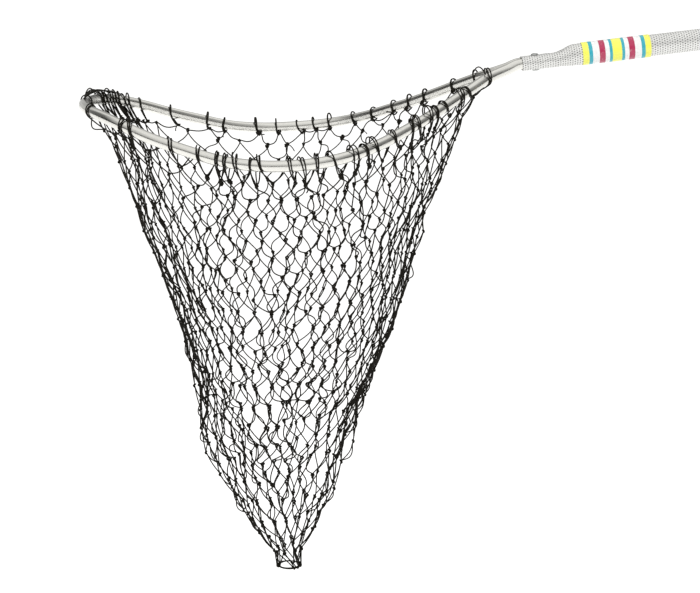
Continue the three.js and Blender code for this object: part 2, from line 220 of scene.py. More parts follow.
# How light the room is by height, from the horizon to straight up.
ROOM_SHADES = ((0.0, 0.05), (0.14, 0.06), (0.25, 0.55), (0.55, 0.85), (0.85, 1.0), (1.0, 1.0))


# ---------------------------------------------------------------- points and lines

def length(v):
    return np.linalg.norm(v, axis=-1, keepdims=True)


def unit(v):
    return v / np.maximum(length(v), 1e-9)


def dot(a, b):
    return (a * b).sum(-1, keepdims=True)


def smooth_step(low, high, value):
    t = np.clip((value - low) / (high - low), 0, 1)
    return t * t * (3 - 2 * t)


def smooth_line(points, steps):
    """A line through the points that keeps its curve even where they are unevenly spaced."""
    points = np.asarray(points, float)
    padded = np.vstack([2 * points[0] - points[1], points, 2 * points[-1] - points[-2]])
    stretches = []
    for i in range(1, len(padded) - 2):
        p = padded[i - 1:i + 3]
        knots = np.r_[0, np.cumsum(np.sqrt(length(np.diff(p, axis=0))[:, 0]))]
        t = np.linspace(knots[1], knots[2], steps, endpoint=False)[:, None]

        def between(a, b, i, j):
            return (knots[j] - t) / (knots[j] - knots[i]) * a + (t - knots[i]) / (knots[j] - knots[i]) * b

        ends = [between(p[k], p[k + 1], k, k + 1) for k in range(3)]
        middles = [between(ends[k], ends[k + 1], k, k + 2) for k in range(2)]
        stretches.append(between(middles[0], middles[1], 1, 2))
    stretches.append(points[-1:])
    return np.vstack(stretches)


def handle_to_model(points):
    """From the handle's own frame, which starts at the neck's mouth, to the model's frame."""
    x, y, z = np.moveaxis(np.asarray(points, float), -1, 0)
    along = x - HANDLE_LENGTH
    cos, sin = math.cos(HANDLE_RISE), math.sin(HANDLE_RISE)
    return np.stack([along * cos - z * sin, y, along * sin + z * cos], -1)


def in_view_plane(along, out):
    """How far to shear a loop along the tube so that it stands square to the hoop's long axis."""
    return np.clip(-out[:, :1] / (along[:, :1] + 1e-9), -1.1, 1.1)


class HoopLine:
    """The hoop's centre line, by distance from the neck's mouth on the near side."""

    def __init__(self):
        def side(sign):
            legs = [(share * LEG_DEPTH, sign * LEG_OFFSET, -NECK_DROP) for share in (1, 0.6, 0.2, -0.12)]
            legs = handle_to_model(legs) - HOOP_PLACE
            bow = [(along, sign * width, rise) for along, width, rise in HOOP_STATIONS]
            return [*legs, *bow]

        self.points = smooth_line([*side(-1), *side(1)[:-1][::-1]], 24)
        steps = length(np.diff(self.points, axis=0))[:, 0]
        self.distances = np.r_[0, np.cumsum(steps)] - LEG_DEPTH
        self.run = self.distances[-1] - LEG_DEPTH
        self.first = LOOP_RUNS[0][0]
        self.last = LOOP_RUNS[-1][1]

    def at(self, distance):
        return np.stack([np.interp(distance, self.distances, self.points[:, k]) for k in range(3)], -1)

    def ring(self, distance):
        """As at(), but straight across between the first and the last loop."""
        distance = np.mod(np.asarray(distance, float), self.run)
        start, end = self.at(np.array([self.last, self.first]))
        gap = self.run - self.last + self.first
        past = np.where(distance >= self.last, distance - self.last, distance + self.run - self.last) / gap
        crossing = (distance >= self.last) | (distance <= self.first)
        straight = start + (end - start) * past[..., None]
        return np.where(crossing[..., None], straight, self.at(distance))

    def stand(self, distance):
        """Point, direction along the tube, direction up from it and direction out of the hoop."""
        point = self.at(distance)
        along = unit(self.at(distance + 2) - self.at(distance - 2))
        up = unit(UP - along * along[..., 2:3])
        out = np.cross(along, up)
        out = out * np.sign(dot(out, point - np.array([HOOP_MIDDLE, 0, 0])))
        return point, along, up, out


HOOP = HoopLine()
LOOP_PLACES = np.concatenate([np.linspace(start, end, number) for start, end, number in LOOP_RUNS])


# ---------------------------------------------------------------- the bag's form

def bearing_of(points):
    """Bearing round the hoop in degrees, from the neck, as if the hoop were a circle."""
    across = (points[..., 0] - HOOP_MIDDLE) / HOOP_HALF_LENGTH
    return np.degrees(np.arctan2(points[..., 1] / HOOP_HALF_WIDTH, across)) % 360


def apart_in_degrees(bearing, centre):
    """From centre to bearing the shorter way round."""
    return np.mod(bearing - centre + 180, 360) - 180


def fold_depth(bearing, depth_share):
    """How far the folds draw the bag in at a bearing, at a share of its depth."""
    total = np.zeros_like(bearing)
    for centre, spread, depth, lean in FOLDS:
        off = np.abs(apart_in_degrees(bearing, centre + lean * depth_share))
        total += np.where(off < spread, depth * (0.5 + 0.5 * np.cos(math.pi * off / spread)), 0)
    return total


def bag_lines(on_hoop, first_drop):
    """The bag's lines straight down from points of the hoop: (points, rows, 3)."""
    top = on_hoop * np.array([RIM_SHARE, RIM_SHARE, 1.0])
    top[:, 2] -= first_drop
    rows = [top]
    plan = np.stack([(on_hoop[:, 0] - HOOP_MIDDLE) / HOOP_HALF_LENGTH, on_hoop[:, 1] / HOOP_HALF_WIDTH], -1)
    for drop, kept, left, right, half_width, roundness, fold in BAG_SECTIONS:
        section = plan * (1 - roundness) + unit(plan) * roundness
        bearing = np.degrees(np.arctan2(section[:, 1], section[:, 0])) % 360
        spoke = section * np.array([(right - left) / 2, half_width])
        spoke *= 1 - (fold_depth(bearing, drop / BAG_DEPTH) * fold * FOLD_SHARE)[:, None] / length(spoke)
        x = (left + right) / 2 + spoke[:, 0]
        rows.append(np.stack([x, spoke[:, 1], kept * on_hoop[:, 2] - drop], -1))
    return np.stack(rows, 1)


def part_way(lines, share):
    """The point of each line that is share of its length from the top."""
    steps = length(np.diff(lines, axis=1))[..., 0]
    reached = np.concatenate([np.zeros((len(lines), 1)), np.cumsum(steps, 1)], 1)
    wanted = share * reached[:, -1]
    at = np.clip((reached <= wanted[:, None]).sum(1) - 1, 0, steps.shape[1] - 1)
    n = np.arange(len(lines))
    over = (wanted - reached[n, at]) / steps[n, at]
    return lines[n, at] + (lines[n, at + 1] - lines[n, at]) * over[:, None]


# ---------------------------------------------------------------- hanging the net

def tie_rows(rng):
    """Each row's places round the hoop, and the stretches of twine: row, upper and lower knot, side."""
    before = np.r_[LOOP_PLACES[-1] - HOOP.run, LOOP_PLACES[:-1]]
    rows = [(before + LOOP_PLACES) / 2]
    twine = []
    for row, (number, below) in enumerate(zip(ROW_KNOTS[:-1], ROW_KNOTS[1:])):
        here = rows[-1]
        gaps = (here + np.r_[here[1:], here[0] + HOOP.run]) / 2
        change = abs(number - below)
        spread = (np.arange(change) + rng.uniform(0.15, 0.85, change)) * number / max(change, 1)
        joins = set(spread.astype(int)) if below < number else set()
        extras = set(spread.astype(int)) if below > number else set()
        made = []
        owner = []
        gap = 0
        while gap < number:
            if gap in extras:
                made.append(here[gap])
                twine.append((row, gap, len(made) - 1, -1))
                twine.append((row, gap, len(made) - 1, 1))
            if gap in joins and gap + 1 < number:
                made.append((gaps[gap] + gaps[gap + 1]) / 2)
                owner += [len(made) - 1] * 2
                gap += 2
            else:
                made.append(gaps[gap])
                owner.append(len(made) - 1)
                gap += 1
        while len(made) > below:
            last = made.pop()
            made[-1] = (made[-1] + last) / 2
            owner = [min(knot, len(made) - 1) for knot in owner]
        for gap, knot in enumerate(owner):
            twine.append((row, gap, knot, -1))
            twine.append((row, (gap + 1) % number, knot, 1))
        rows.append(np.array(made))
    # Lower down, the meshes share the room more evenly than the loops above them do.
    for row, places in enumerate(rows):
        even = HOOP.run * np.arange(len(places)) / len(places)
        even += (places - even).mean()
        rows[row] = places + (even - places) * 0.8 * min(1, row / 7)
    return rows, np.array(twine)


def knot_targets(rows, rng):
    """Where each knot would like to hang, its bearing and its row."""
    total = len(rows)
    points = []
    bearings = []
    for row, places in enumerate(rows):
        on_hoop = HOOP.ring(places)
        bearing = bearing_of(on_hoop)
        ease_in = min(1, row / 5)
        ease_out = min(1, (total - row) / 5)
        # The meshes crowd towards both ends of the bag high up, and away from them low down.
        shift = np.interp(row, *CROWDING) * np.sin(np.radians(2 * bearing))
        for centre, spread, _, lean in FOLDS:
            off = apart_in_degrees(bearing, centre + lean * row / total)
            closeness = np.maximum(1 - np.abs(off) / (spread * 1.6), 0)
            shift += -off * 0.08 * closeness * ease_in * ease_out
        turn = np.radians(shift)
        x = (on_hoop[:, 0] - HOOP_MIDDLE) / HOOP_HALF_LENGTH
        y = on_hoop[:, 1] / HOOP_HALF_WIDTH
        on_hoop = np.stack([
            HOOP_MIDDLE + HOOP_HALF_LENGTH * (x * np.cos(turn) - y * np.sin(turn)),
            HOOP_HALF_WIDTH * (x * np.sin(turn) + y * np.cos(turn)),
            on_hoop[:, 2],
        ], 1)
        bearing = bearing_of(on_hoop)
        lift = NECK_LIFT * np.exp(-((on_hoop[:, 0] - 240) / 35) ** 2)
        lines = bag_lines(on_hoop, FIRST_DROP - lift)
        dip = row / 13 if row < 13 else (total - row) / 9
        share = row / total - np.sin(np.radians(bearing)) ** 2 * 0.035 * dip
        turn = np.radians(bearing)
        swell = np.interp(row, *SIDE_SWELL) * np.sin(turn) ** 2
        swell += np.interp(row, *TIP_SWELL) * np.minimum(np.cos(turn), 0) ** 2
        swell += np.interp(row, *NECK_SWELL) * np.maximum(np.cos(turn), 0) ** 2
        away = np.stack([np.cos(turn), np.sin(turn), 0 * turn], 1)
        points.append(part_way(lines, share) + away * swell[:, None])
        bearings.append(bearing)
    points = np.vstack(points)
    bearings = np.radians(np.concatenate(bearings))
    row_of = np.repeat(np.arange(total), [len(places) for places in rows])
    outward = np.stack([np.cos(bearings), np.sin(bearings), 0 * bearings], 1)
    sideways = np.stack([-outward[:, 1], outward[:, 0], 0 * bearings], 1)
    unevenness = rng.normal(0, 1, points.shape)
    size = np.interp(row_of, *UNEVENNESS)
    size = size * np.where(rng.random(len(points)) < 0.10, 1.6, 1)
    ends = np.cos(bearings) ** 6
    points += sideways * (unevenness[:, :1] * (size * (0.9 + 0.3 * ends))[:, None])
    points += outward * (unevenness[:, 1:2] * (size * (0.45 + 0.55 * ends))[:, None])
    points[:, 2] += unevenness[:, 2] * size * (0.8 + 0.8 * ends)
    # Under the neck the meshes hang in loose bunches.
    neck = np.maximum(np.cos(bearings), 0) ** 10 * np.interp(row_of, *BUNCHING)
    points += rng.normal(-2.0, 5.0, points.shape) * np.array([1.0, 0.4, 0.2]) * neck[:, None]
    return points, sideways, row_of


def settle_knots(targets, upper, lower, bar, row_of, start):
    """Moves the knots until each stretch of twine can reach between its two."""
    knots = targets.copy()
    neighbour = np.concatenate([
        start[row] + (np.arange(number) + 1) % number for row, number in enumerate(ROW_KNOTS)])
    room = np.interp(row_of, *KNOT_ROOM)[:, None]
    first = slice(0, ROW_KNOTS[0])
    last = slice(start[-2], start[-1])
    loop_points = HOOP.at(LOOP_PLACES)
    holds = (loop_points, np.roll(loop_points, 1, 0))
    hold_reach = np.maximum(LOOP_KNOT_REACH, 0.62 * length(loop_points - holds[1]))
    # Slack meshes low in the bag let their knots come closer together.
    least = bar * np.interp(row_of[upper], *LEAST_BAR)[:, None]
    for _ in range(SETTLING_ROUNDS):
        knots += 0.02 * (targets - knots)
        reach = knots[lower] - knots[upper]
        far = length(reach)
        slack = np.maximum(far - bar * 0.985, 0) + np.minimum(far - least, 0)
        pull = reach * slack / far * 0.5
        moved = np.zeros_like(knots)
        pulls = np.zeros((len(knots), 1))
        np.add.at(moved, upper, pull)
        np.add.at(moved, lower, -pull)
        np.add.at(pulls, upper, slack != 0)
        np.add.at(pulls, lower, slack != 0)
        knots += moved / np.maximum(pulls, 1) * 1.4
        reach = knots[neighbour] - knots
        far = length(reach)
        push = reach * (np.minimum(far - room, 0) / far * 0.3)
        knots += push
        np.add.at(knots, neighbour, -push)
        for hold in holds:
            reach = knots[first] - hold
            far = length(reach)
            knots[first] -= reach * (np.maximum(far - hold_reach, 0) / far * 0.7)
        reach = knots[last] - DRAW_RING
        far = length(reach)
        knots[last] -= reach * (np.maximum(far - LAST_REACH, 0) / far * 0.7)
    return knots


def keep_lengths(chains, step):
    """Pulls neighbouring points of each chain back to their spacing; the ends are held."""
    last = chains.shape[1] - 1
    for parity in (0, 1):
        a = chains[:, parity:-1:2]
        b = chains[:, parity + 1::2]
        pairs = min(a.shape[1], b.shape[1])
        a = a[:, :pairs]
        b = b[:, :pairs]
        index = np.arange(parity, parity + 2 * pairs, 2)
        free_a = (index != 0).astype(float)[None, :, None]
        free_b = (index + 1 != last).astype(float)[None, :, None]
        reach = b - a
        far = length(reach)
        shift = reach * ((far - step) / far) / (free_a + free_b)
        a += shift * free_a
        b -= shift * free_b


def hang_twine(start, end, leave, arrive, run, lean, curl, points=10, rounds=SETTLING_ROUNDS):
    """Springy stretches of twine, run long, held in two knots and bent by their own stiffness."""
    share = np.linspace(0, 1, points)[None, :, None]
    straight = length(end - start)
    run = np.maximum(run, straight * 1.004)
    step = (run / (points - 1))[:, None]
    chains = start[:, None] * (1 - share) + end[:, None] * share
    swell = np.sqrt(np.maximum(run ** 2 - straight ** 2, 0)) * 0.45
    chains += np.sin(math.pi * share) * (lean * swell)[:, None]
    before = start - leave * step[:, 0]
    after = end + arrive * step[:, 0]
    rest = curl[:, None] * step ** 2
    for _ in range(rounds):
        chains[:, 1:-1, 2] -= 0.004
        held = np.concatenate([before[:, None], chains, after[:, None]], 1)
        bend = held[:, :-2] + held[:, 2:] - 2 * held[:, 1:-1] - rest
        bend[:, 0] *= 0.4
        bend[:, -1] *= 0.4
        chains[:, 1:-1] += 0.05 * (2 * bend[:, 1:-1] - bend[:, :-2] - bend[:, 2:])
        keep_lengths(chains, step)
    return chains


@functools.lru_cache(maxsize=1)
def hang_net(mesh_bar, seed):
    """The whole bag at rest, in the hoop's frame: knots with their own axes, and the twine between."""
    rng = np.random.default_rng(seed)
    rows, twine = tie_rows(rng)
    start = np.r_[0, np.cumsum([len(places) for places in rows])]
    targets, sideways, row_of = knot_targets(rows, rng)
    upper = start[twine[:, 0]] + twine[:, 1]
    lower = start[twine[:, 0] + 1] + twine[:, 2]
    side = twine[:, 3:4]
    # The lower meshes hang slacker.
    bar = mesh_bar * np.interp(twine[:, :1], *BAR_SLACK)
    bar = bar * (1 + rng.uniform(-0.05, 0.05, (len(upper), 1)))
    knots = settle_knots(targets, upper, lower, bar, row_of, start)

    # A knot stands along the mean of its twine, and a little as it fell.
    slope = unit(knots[lower] - knots[upper])
    axis = np.zeros_like(knots)
    np.add.at(axis, upper, -slope)
    np.add.at(axis, lower, -slope)
    axis += 0.5 * UP
    axis += rng.normal(0, 1, axis.shape) * (0.22 + 0.35 * rng.random(len(knots)) ** 2)[:, None]
    axis = unit(axis)
    middle_x = np.interp(knots[:, 2], [DRAW_RING[2], 0], [DRAW_RING[0], HOOP_MIDDLE])
    middle = np.stack([middle_x, 0 * middle_x, knots[:, 2]], 1)
    outward = unit(knots - middle)
    across = unit(np.cross(outward, axis))
    across *= np.sign(dot(across, sideways))
    size = (np.interp(row_of, *KNOT_SIZES) * rng.uniform(0.9, 1.15, len(knots)))[:, None]
    top = knots + axis * size * KNOT_HEIGHT / 2
    foot = knots - axis * size * KNOT_HEIGHT / 2

    leave_at = foot[upper] - across[upper] * side * size[upper] * KNOT_SPLAY
    reach_at = top[lower] + across[lower] * side * size[lower] * KNOT_SPLAY
    straight = unit(reach_at - leave_at)
    turned = unit(np.cross(outward[upper], reach_at - leave_at))
    lean = turned * rng.normal(0, 0.8, (len(upper), 1))
    lean += outward[upper] * rng.normal(0, 0.35, (len(upper), 1))
    lean -= UP * np.interp(twine[:, :1], *BAR_SAG)
    curl = -unit(lean) * rng.uniform(-0.01, 0.035, (len(upper), 1))
    lean /= np.maximum(length(lean), 0.6)
    leave = unit(straight * 0.8 - axis[upper] * 0.5)
    arrive = unit(straight * 0.8 - axis[lower] * 0.5)
    chains = hang_twine(leave_at, reach_at, leave, arrive, bar - KNOT_HEIGHT, lean, curl)
    return {
        "start": start, "knots": knots, "axis": axis, "across": across, "outward": outward,
        "top": top, "foot": foot, "chains": chains, "size": size,
    }


def relax_round_tube(chains, slack, reach, proud, point, along, up):
    """Settles chains that pass over a tube and stand proud of its top; their ends are held."""
    step = length(np.diff(chains, axis=1)).mean(1, keepdims=True) * slack
    for _ in range(160):
        chains[:, 1:-1, 2] -= 0.02
        chains[:, 1:-1] += 0.25 * ((chains[:, :-2] + chains[:, 2:]) / 2 - chains[:, 1:-1])
        inner = chains[:, 1:-1]
        from_axis = inner - point[:, None]
        from_axis = from_axis - along[:, None] * dot(from_axis, along[:, None])
        far = length(from_axis)
        height = np.maximum(dot(from_axis, up[:, None]) / far, 0)
        inner += from_axis * np.maximum(reach + proud * height ** 2 - far, 0) / far
        keep_lengths(chains, step)
    return chains


def swung(start, end, side, points=8):
    """Points from start up to just before end, swung to one side between them."""
    share = np.linspace(0, 1, points, endpoint=False)[None, :, None]
    line = start[:, None] * (1 - share) + end[:, None] * share
    return line + np.sin(math.pi * share) * side[:, None]


def near_loops(net, tube_radius, rng):
    """The doubled loops: both strands from a first knot, over the tube and down to the next knot."""
    near = np.flatnonzero(HOOP.at(LOOP_PLACES)[:, 1] < 0)
    after = (near + 1) % len(LOOP_PLACES)
    point, along, up, out = HOOP.stand(LOOP_PLACES[near])
    number = len(near)
    gap = rng.uniform(0.9, 2.6, (number, 1))
    crossed = np.where(rng.random((number, 1)) < 0.3, -1.0, 1.0)
    lean = rng.normal(0, 2.2, (number, 1, 1))
    proud = rng.uniform(0.1, 1.0, (number, 1, 1)) ** 2 * 6.5
    square = out + along * (in_view_plane(along, out) + rng.normal(0, 0.2, (number, 1)))
    reach = tube_radius + LOOP_CLEAR
    turn = np.radians(np.linspace(-100, 100, 11))[None, :, None]
    made = []
    for strand in (-1, 1):
        start = net["top"][near] + net["across"][near] * strand
        end = net["top"][after] + net["across"][after] * strand * crossed
        swell = reach + (proud + strand * 0.5) * np.maximum(np.cos(turn), 0) ** 2
        over = point[:, None] + swell * (np.cos(turn) * up[:, None] - np.sin(turn) * square[:, None])
        over += along[:, None] * (np.linspace(-1, 1, 11)[None, :, None] * lean + (strand * gap)[:, None])
        rise = swung(start, over[:, 0], along * (rng.normal(0, 1.8, (number, 1)) + strand * gap * 0.6))
        fall = swung(end, over[:, -1], along * (rng.normal(0, 1.8, (number, 1)) + strand * gap * 0.6))
        chains = np.concatenate([rise, over, fall[:, ::-1]], 1)
        slack = 1 + rng.uniform(0, 0.04, (number, 1, 1))
        made.append(relax_round_tube(chains, slack, reach, proud + strand * 0.5, point, along, up))
    return np.concatenate(made)


def far_hitches(net, tube_radius, rng):
    """The far loops: each is tied below the tube, and slack twine runs from there to the knots beside it."""
    far_side = np.flatnonzero(HOOP.at(LOOP_PLACES)[:, 1] >= 0)
    after = (far_side + 1) % len(LOOP_PLACES)
    distance = LOOP_PLACES[far_side]
    point, along, up, out = HOOP.stand(distance)
    number = len(far_side)
    hang = np.interp(distance, *FAR_HANG)[:, None] * rng.uniform(0.75, 1.15, (number, 1))
    lean = np.interp(distance, *FAR_LEAN)[:, None] + rng.normal(0, 1.6, (number, 1))
    knots = point + (tube_radius + HITCH_CLEAR) * (math.cos(HITCH_TURN) * up - math.sin(HITCH_TURN) * out)
    knots = knots - UP * hang - along * lean * 1.5
    reach = tube_radius + LOOP_CLEAR
    proud = rng.uniform(0.5, 6.0, (number, 1, 1))
    gap = rng.uniform(0.3, 1.2, (number, 1, 1))
    turned = np.interp(distance, *FAR_TURN)[:, None] + rng.normal(0, 0.2, (number, 1))
    square = out + along * (in_view_plane(along, out) * 0.9 + turned)
    # A knot close under the tube takes the twine all the way round; a hanging one takes both its ends.
    stop = np.interp(hang, (0, 6), (TAU - 0.12, TAU - 1.75))[..., None]
    turn = HITCH_TURN - (0.12 + (stop - 0.12) * np.linspace(0, 1, 26)[None, :, None])
    rings = []
    for strand in (-1, 1):
        swell = reach + proud * np.maximum(np.cos(turn), 0) ** 2
        over = point[:, None] + swell * (np.cos(turn) * up[:, None] - np.sin(turn) * square[:, None])
        over += along[:, None] * (np.cos(turn) * lean[:, None] + strand * gap * np.sin(turn / 2 + 0.4) ** 2)
        ends = knots + along * strand * 0.7
        legs = [swung(ends, over[:, k], along * rng.normal(0, 0.05, (number, 1)) * hang) for k in (0, -1)]
        chains = np.concatenate([legs[0], over, legs[1][:, ::-1]], 1)
        slack = 1 + rng.uniform(0, 0.03, (number, 1, 1))
        rings.append(relax_round_tube(chains, slack, reach, proud, point, along, up))
    axis = unit(up + 0.5 * out + rng.normal(0, 0.25, (number, 3)))
    across = unit(along - axis * dot(along, axis))
    size = rng.uniform(1.05, 1.3, (number, 1))
    tied = {"knots": knots, "axis": axis, "across": across, "outward": -out, "size": size}

    # Twine runs from each of these knots to the first knots at both sides, and now and then to the next.
    beside = np.flatnonzero((length(np.diff(knots, axis=0))[:, 0] < 40) & (rng.random(number - 1) < 0.4))
    starts = [knots - axis * KNOT_HEIGHT / 2 + along * KNOT_SPLAY * side for side in (1, -1)]
    starts.append(knots[beside] + along[beside])
    ends = [net["top"][after], net["top"][far_side], knots[beside + 1] - along[beside + 1]]
    start = np.concatenate(starts)
    end = np.concatenate(ends)
    straight = unit(end - start)
    level = unit(straight * np.array([1, 1, 0.2]))
    run = length(end - start) * (1 + rng.uniform(0.01, 0.12, (len(start), 1)))
    sag = unit(rng.normal(0, 0.5, start.shape) - UP * 0.6)
    bars = hang_twine(start, end, level, unit(straight - UP * 0.3), run, sag, sag * -0.01, rounds=400)
    return np.concatenate(rings), bars, tied


def single_stretches(tube_radius):
    """The stiff arcs that stand up over the hoop's tip, and the twine across at the neck."""
    places = np.array(STRETCHES)
    ends = []
    for column in (0, 1):
        point, _, up, _ = HOOP.stand(places[:, column])
        ends.append(point + up * (tube_radius + LOOP_CLEAR))
    start, end = ends
    away = unit(end - start)
    rise = places[:, 3:4]
    run = length(end - start) * places[:, 2:3]
    upward = np.broadcast_to(UP, start.shape)
    leave = unit(UP * rise + away)
    arrive = unit(away * 2 - UP * rise)
    return hang_twine(start, end, leave, arrive, run, upward, 0 * upward)


def last_meshes(net):
    """The twine from each last knot, round the draw ring and up to the next knot."""
    last = slice(net["start"][-2], net["start"][-1])
    foot = net["foot"][last]
    across = net["across"][last]
    start = foot + across * KNOT_SPLAY
    end = np.roll(foot - across * KNOT_SPLAY, -1, 0)
    spoke = (start + end) / 2 - DRAW_RING
    spoke[:, 2] = 0
    # The last meshes have slid round the ring, most of them towards one end.
    bearing = np.degrees(np.arctan2(spoke[:, 1], spoke[:, 0])) + SLID
    at_tip = bearing * 0.3 + 126 * np.sign(bearing)
    slid = np.radians(np.where(np.abs(bearing) < SLID_APART, bearing * 0.5, at_tip))
    spoke = np.stack([np.cos(slid), np.sin(slid), 0 * slid], 1)
    held = DRAW_RING + spoke * DRAW_RING_RADIUS
    along = np.cross(UP, spoke)
    turn = np.radians(np.linspace(-80, 80, 9))[None, :, None]
    under = held[:, None] + LAST_REST * (np.sin(turn) * spoke[:, None] * -1 - np.cos(turn) * UP)
    under += along[:, None] * np.linspace(-1.0, 1.0, 9)[None, :, None]
    share = np.linspace(0, 1, 9, endpoint=False)[None, :, None]
    fall = start[:, None] * (1 - share) + under[:, :1] * share
    share = share + 1 / 9
    rise = under[:, -1:] * (1 - share) + end[:, None] * share
    chains = np.concatenate([fall, under, rise], 1)
    step = length(np.diff(chains, axis=1)).mean(1, keepdims=True) * 1.03
    for _ in range(120):
        chains[:, 1:-1] += 0.25 * ((chains[:, :-2] + chains[:, 2:]) / 2 - chains[:, 1:-1])
        inner = chains[:, 1:-1]
        from_axis = inner - held[:, None]
        from_axis = from_axis - along[:, None] * dot(from_axis, along[:, None])
        far = length(from_axis)
        inner += from_axis * np.maximum(LAST_REST - far, 0) / far
        keep_lengths(chains, step)
    return chains


# ---------------------------------------------------------------- meshes

def skin(rings, distance):
    """Tubes through rings of points (tubes, rings, sides, 3): corners, faces and a map of each corner."""
    tubes, stations, sides = rings.shape[:3]
    index = np.arange(tubes * stations * sides).reshape(tubes, stations, sides)
    turned = np.roll(index, -1, 2)
    quads = np.stack([index[:, :-1], turned[:, :-1], turned[:, 1:], index[:, 1:]], -1).reshape(-1, 4)
    caps = np.concatenate([index[:, 0, ::-1], index[:, -1]])
    around = np.arange(sides + 1) / sides
    low = np.broadcast_to(distance[:, :-1, None], (tubes, stations - 1, sides))
    high = np.broadcast_to(distance[:, 1:, None], low.shape)
    left = np.broadcast_to(around[:-1], low.shape)
    right = np.broadcast_to(around[1:], low.shape)
    quad_map = np.stack([low, left, low, right, high, right, high, left], -1).reshape(-1, 2)
    cap_map = np.zeros((caps.size, 2))
    faces = quads.tolist() + caps.tolist()
    return rings.reshape(-1, 3), faces, np.concatenate([quad_map, cap_map])


def sweep(chains, radius, sides):
    """Round tubes along chains of points (tubes, points, 3)."""
    chains = np.asarray(chains, float)
    ahead = unit(np.gradient(chains, axis=1))
    spare = np.where(np.abs(ahead[:, 0, 2:3]) < 0.8, UP, np.array([1.0, 0.0, 0.0]))
    across = unit(np.cross(ahead[:, 0], spare))
    frames = []
    for k in range(chains.shape[1]):
        across = unit(across - ahead[:, k] * dot(across, ahead[:, k]))
        frames.append(across)
    across = np.stack(frames, 1)[:, :, None]
    over = np.cross(ahead[:, :, None], across)
    turn = (np.arange(sides) / sides * TAU)[None, None, :, None]
    rings = chains[:, :, None] + radius * (np.cos(turn) * across + np.sin(turn) * over)
    steps = length(np.diff(chains, axis=1))[..., 0]
    distance = np.concatenate([np.zeros((len(chains), 1)), np.cumsum(steps, 1)], 1)
    return skin(rings, distance)


def lathe(profile, sides, place):
    """A turned form about its own axis from (along, radius) pairs; place maps its points to the model."""
    profile = np.asarray(profile, float)
    turn = np.arange(sides) / sides * TAU
    along = np.broadcast_to(profile[:, :1], (len(profile), sides))
    points = np.stack([along, profile[:, 1:] * np.cos(turn), profile[:, 1:] * np.sin(turn)], -1)
    return skin(place(points)[None], profile[None, :, 0])


def new_piece(name, form, finish, replaced=()):
    """A mesh piece from points in millimetres in the model's frame."""
    points, faces, corner_map = form
    mesh = bpy.data.meshes.new(name)
    mesh.from_pydata((points * MM).tolist(), [], faces)
    layer = mesh.uv_layers.new(name="Lay")
    layer.data.foreach_set("uv", corner_map.ravel())
    mesh.materials.append(finish)
    mesh.shade_smooth()
    piece = bpy.data.objects.new(name, mesh)
    bpy.context.scene.collection.objects.link(piece)
    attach(piece, "root")
    if replaced:
        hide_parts(*replaced)
    return piece


def soften_edges(piece):
    """Smooth shading that still shows the sharper edges."""
    piece.data.set_sharp_from_angle(angle=SHARP_EDGE)


# ---------------------------------------------------------------- finishes

class Nodes:
    """A node tree, with short calls for its nodes."""

    def __init__(self, tree):
        self.tree = tree

    def node(self, kind, inputs=None, **settings):
        made = self.tree.nodes.new("ShaderNode" + kind)
        for setting, value in settings.items():
            setattr(made, setting, value)
        for socket, value in (inputs or {}).items():
            if isinstance(value, bpy.types.NodeSocket):
                self.tree.links.new(value, made.inputs[socket])
            else:
                made.inputs[socket].default_value = value
        return made

    def math(self, operation, a, b=0.0, c=0.0):
        return self.node("Math", {0: a, 1: b, 2: c}, operation=operation).outputs[0]

    def between(self, amount, low, high, start=0.0, end=1.0):
        return self.node("MapRange", {
            "Value": amount, "From Min": start, "From Max": end, "To Min": low, "To Max": high}).outputs[0]

    def blend(self, amount, first, second):
        mix = self.node("Mix", {0: amount}, data_type="RGBA")
        for socket, value in ((6, first), (7, second)):
            if isinstance(value, bpy.types.NodeSocket):
                self.tree.links.new(value, mix.inputs[socket])
            else:
                mix.inputs[socket].default_value = (*value, 1)
        return mix.outputs[2]

    def ramp(self, amount, stops, interpolation="LINEAR"):
        """A colour ramp from (position, colour) pairs."""
        made = self.node("ValToRGB", {"Fac": amount})
        made.color_ramp.interpolation = interpolation
        elements = made.color_ramp.elements
        while len(elements) < len(stops):
            elements.new(0.5)
        for element, (position, colour) in zip(list(elements), stops):
            element.position = position
            element.color = (*colour, 1)
        return made.outputs["Color"]


class Finish(Nodes):
    """A Principled material and the patterns that vary it."""

    def __init__(self, name, **values):
        self.material = bpy.data.materials.new(name)
        self.material.use_nodes = True
        super().__init__(self.material.node_tree)
        self.shader = self.tree.nodes["Principled BSDF"]
        for socket, value in values.items():
            self.shader.inputs[socket.replace("_", " ")].default_value = value

    def lay(self):
        """Distance along a tube or strand in millimetres, and the share of a turn round it."""
        parts = self.node("SeparateXYZ", {0: self.node("UVMap", uv_map="Lay").outputs["UV"]})
        return parts.outputs["X"], parts.outputs["Y"]

    def noise(self, scale, detail=2.0, stretch=None):
        """Noise over the object, or drawn out along a tube when stretch gives both scales."""
        if stretch is None:
            vector = self.node("TexCoord").outputs["Object"]
        else:
            along, around = self.lay()
            turn = self.math("MULTIPLY", around, TAU)
            vector = self.node("CombineXYZ", {
                "X": self.math("MULTIPLY", along, stretch[0]),
                "Y": self.math("MULTIPLY", self.math("COSINE", turn), stretch[1]),
                "Z": self.math("MULTIPLY", self.math("SINE", turn), stretch[1]),
            }).outputs[0]
        return self.node("TexNoise", {"Vector": vector, "Scale": scale, "Detail": detail}).outputs["Fac"]

    def bump(self, height, distance, strength=1.0, under=None):
        inputs = {"Height": height, "Distance": distance, "Strength": strength}
        if under is not None:
            inputs["Normal"] = under
        return self.node("Bump", inputs).outputs["Normal"]

    def wire(self, **sockets):
        for socket, source in sockets.items():
            self.tree.links.new(source, self.shader.inputs[socket.replace("_", " ")])
        return self.material


def scaled(colour, share):
    """A colour made darker or lighter."""
    return tuple(min(1.0, part * share) for part in colour)


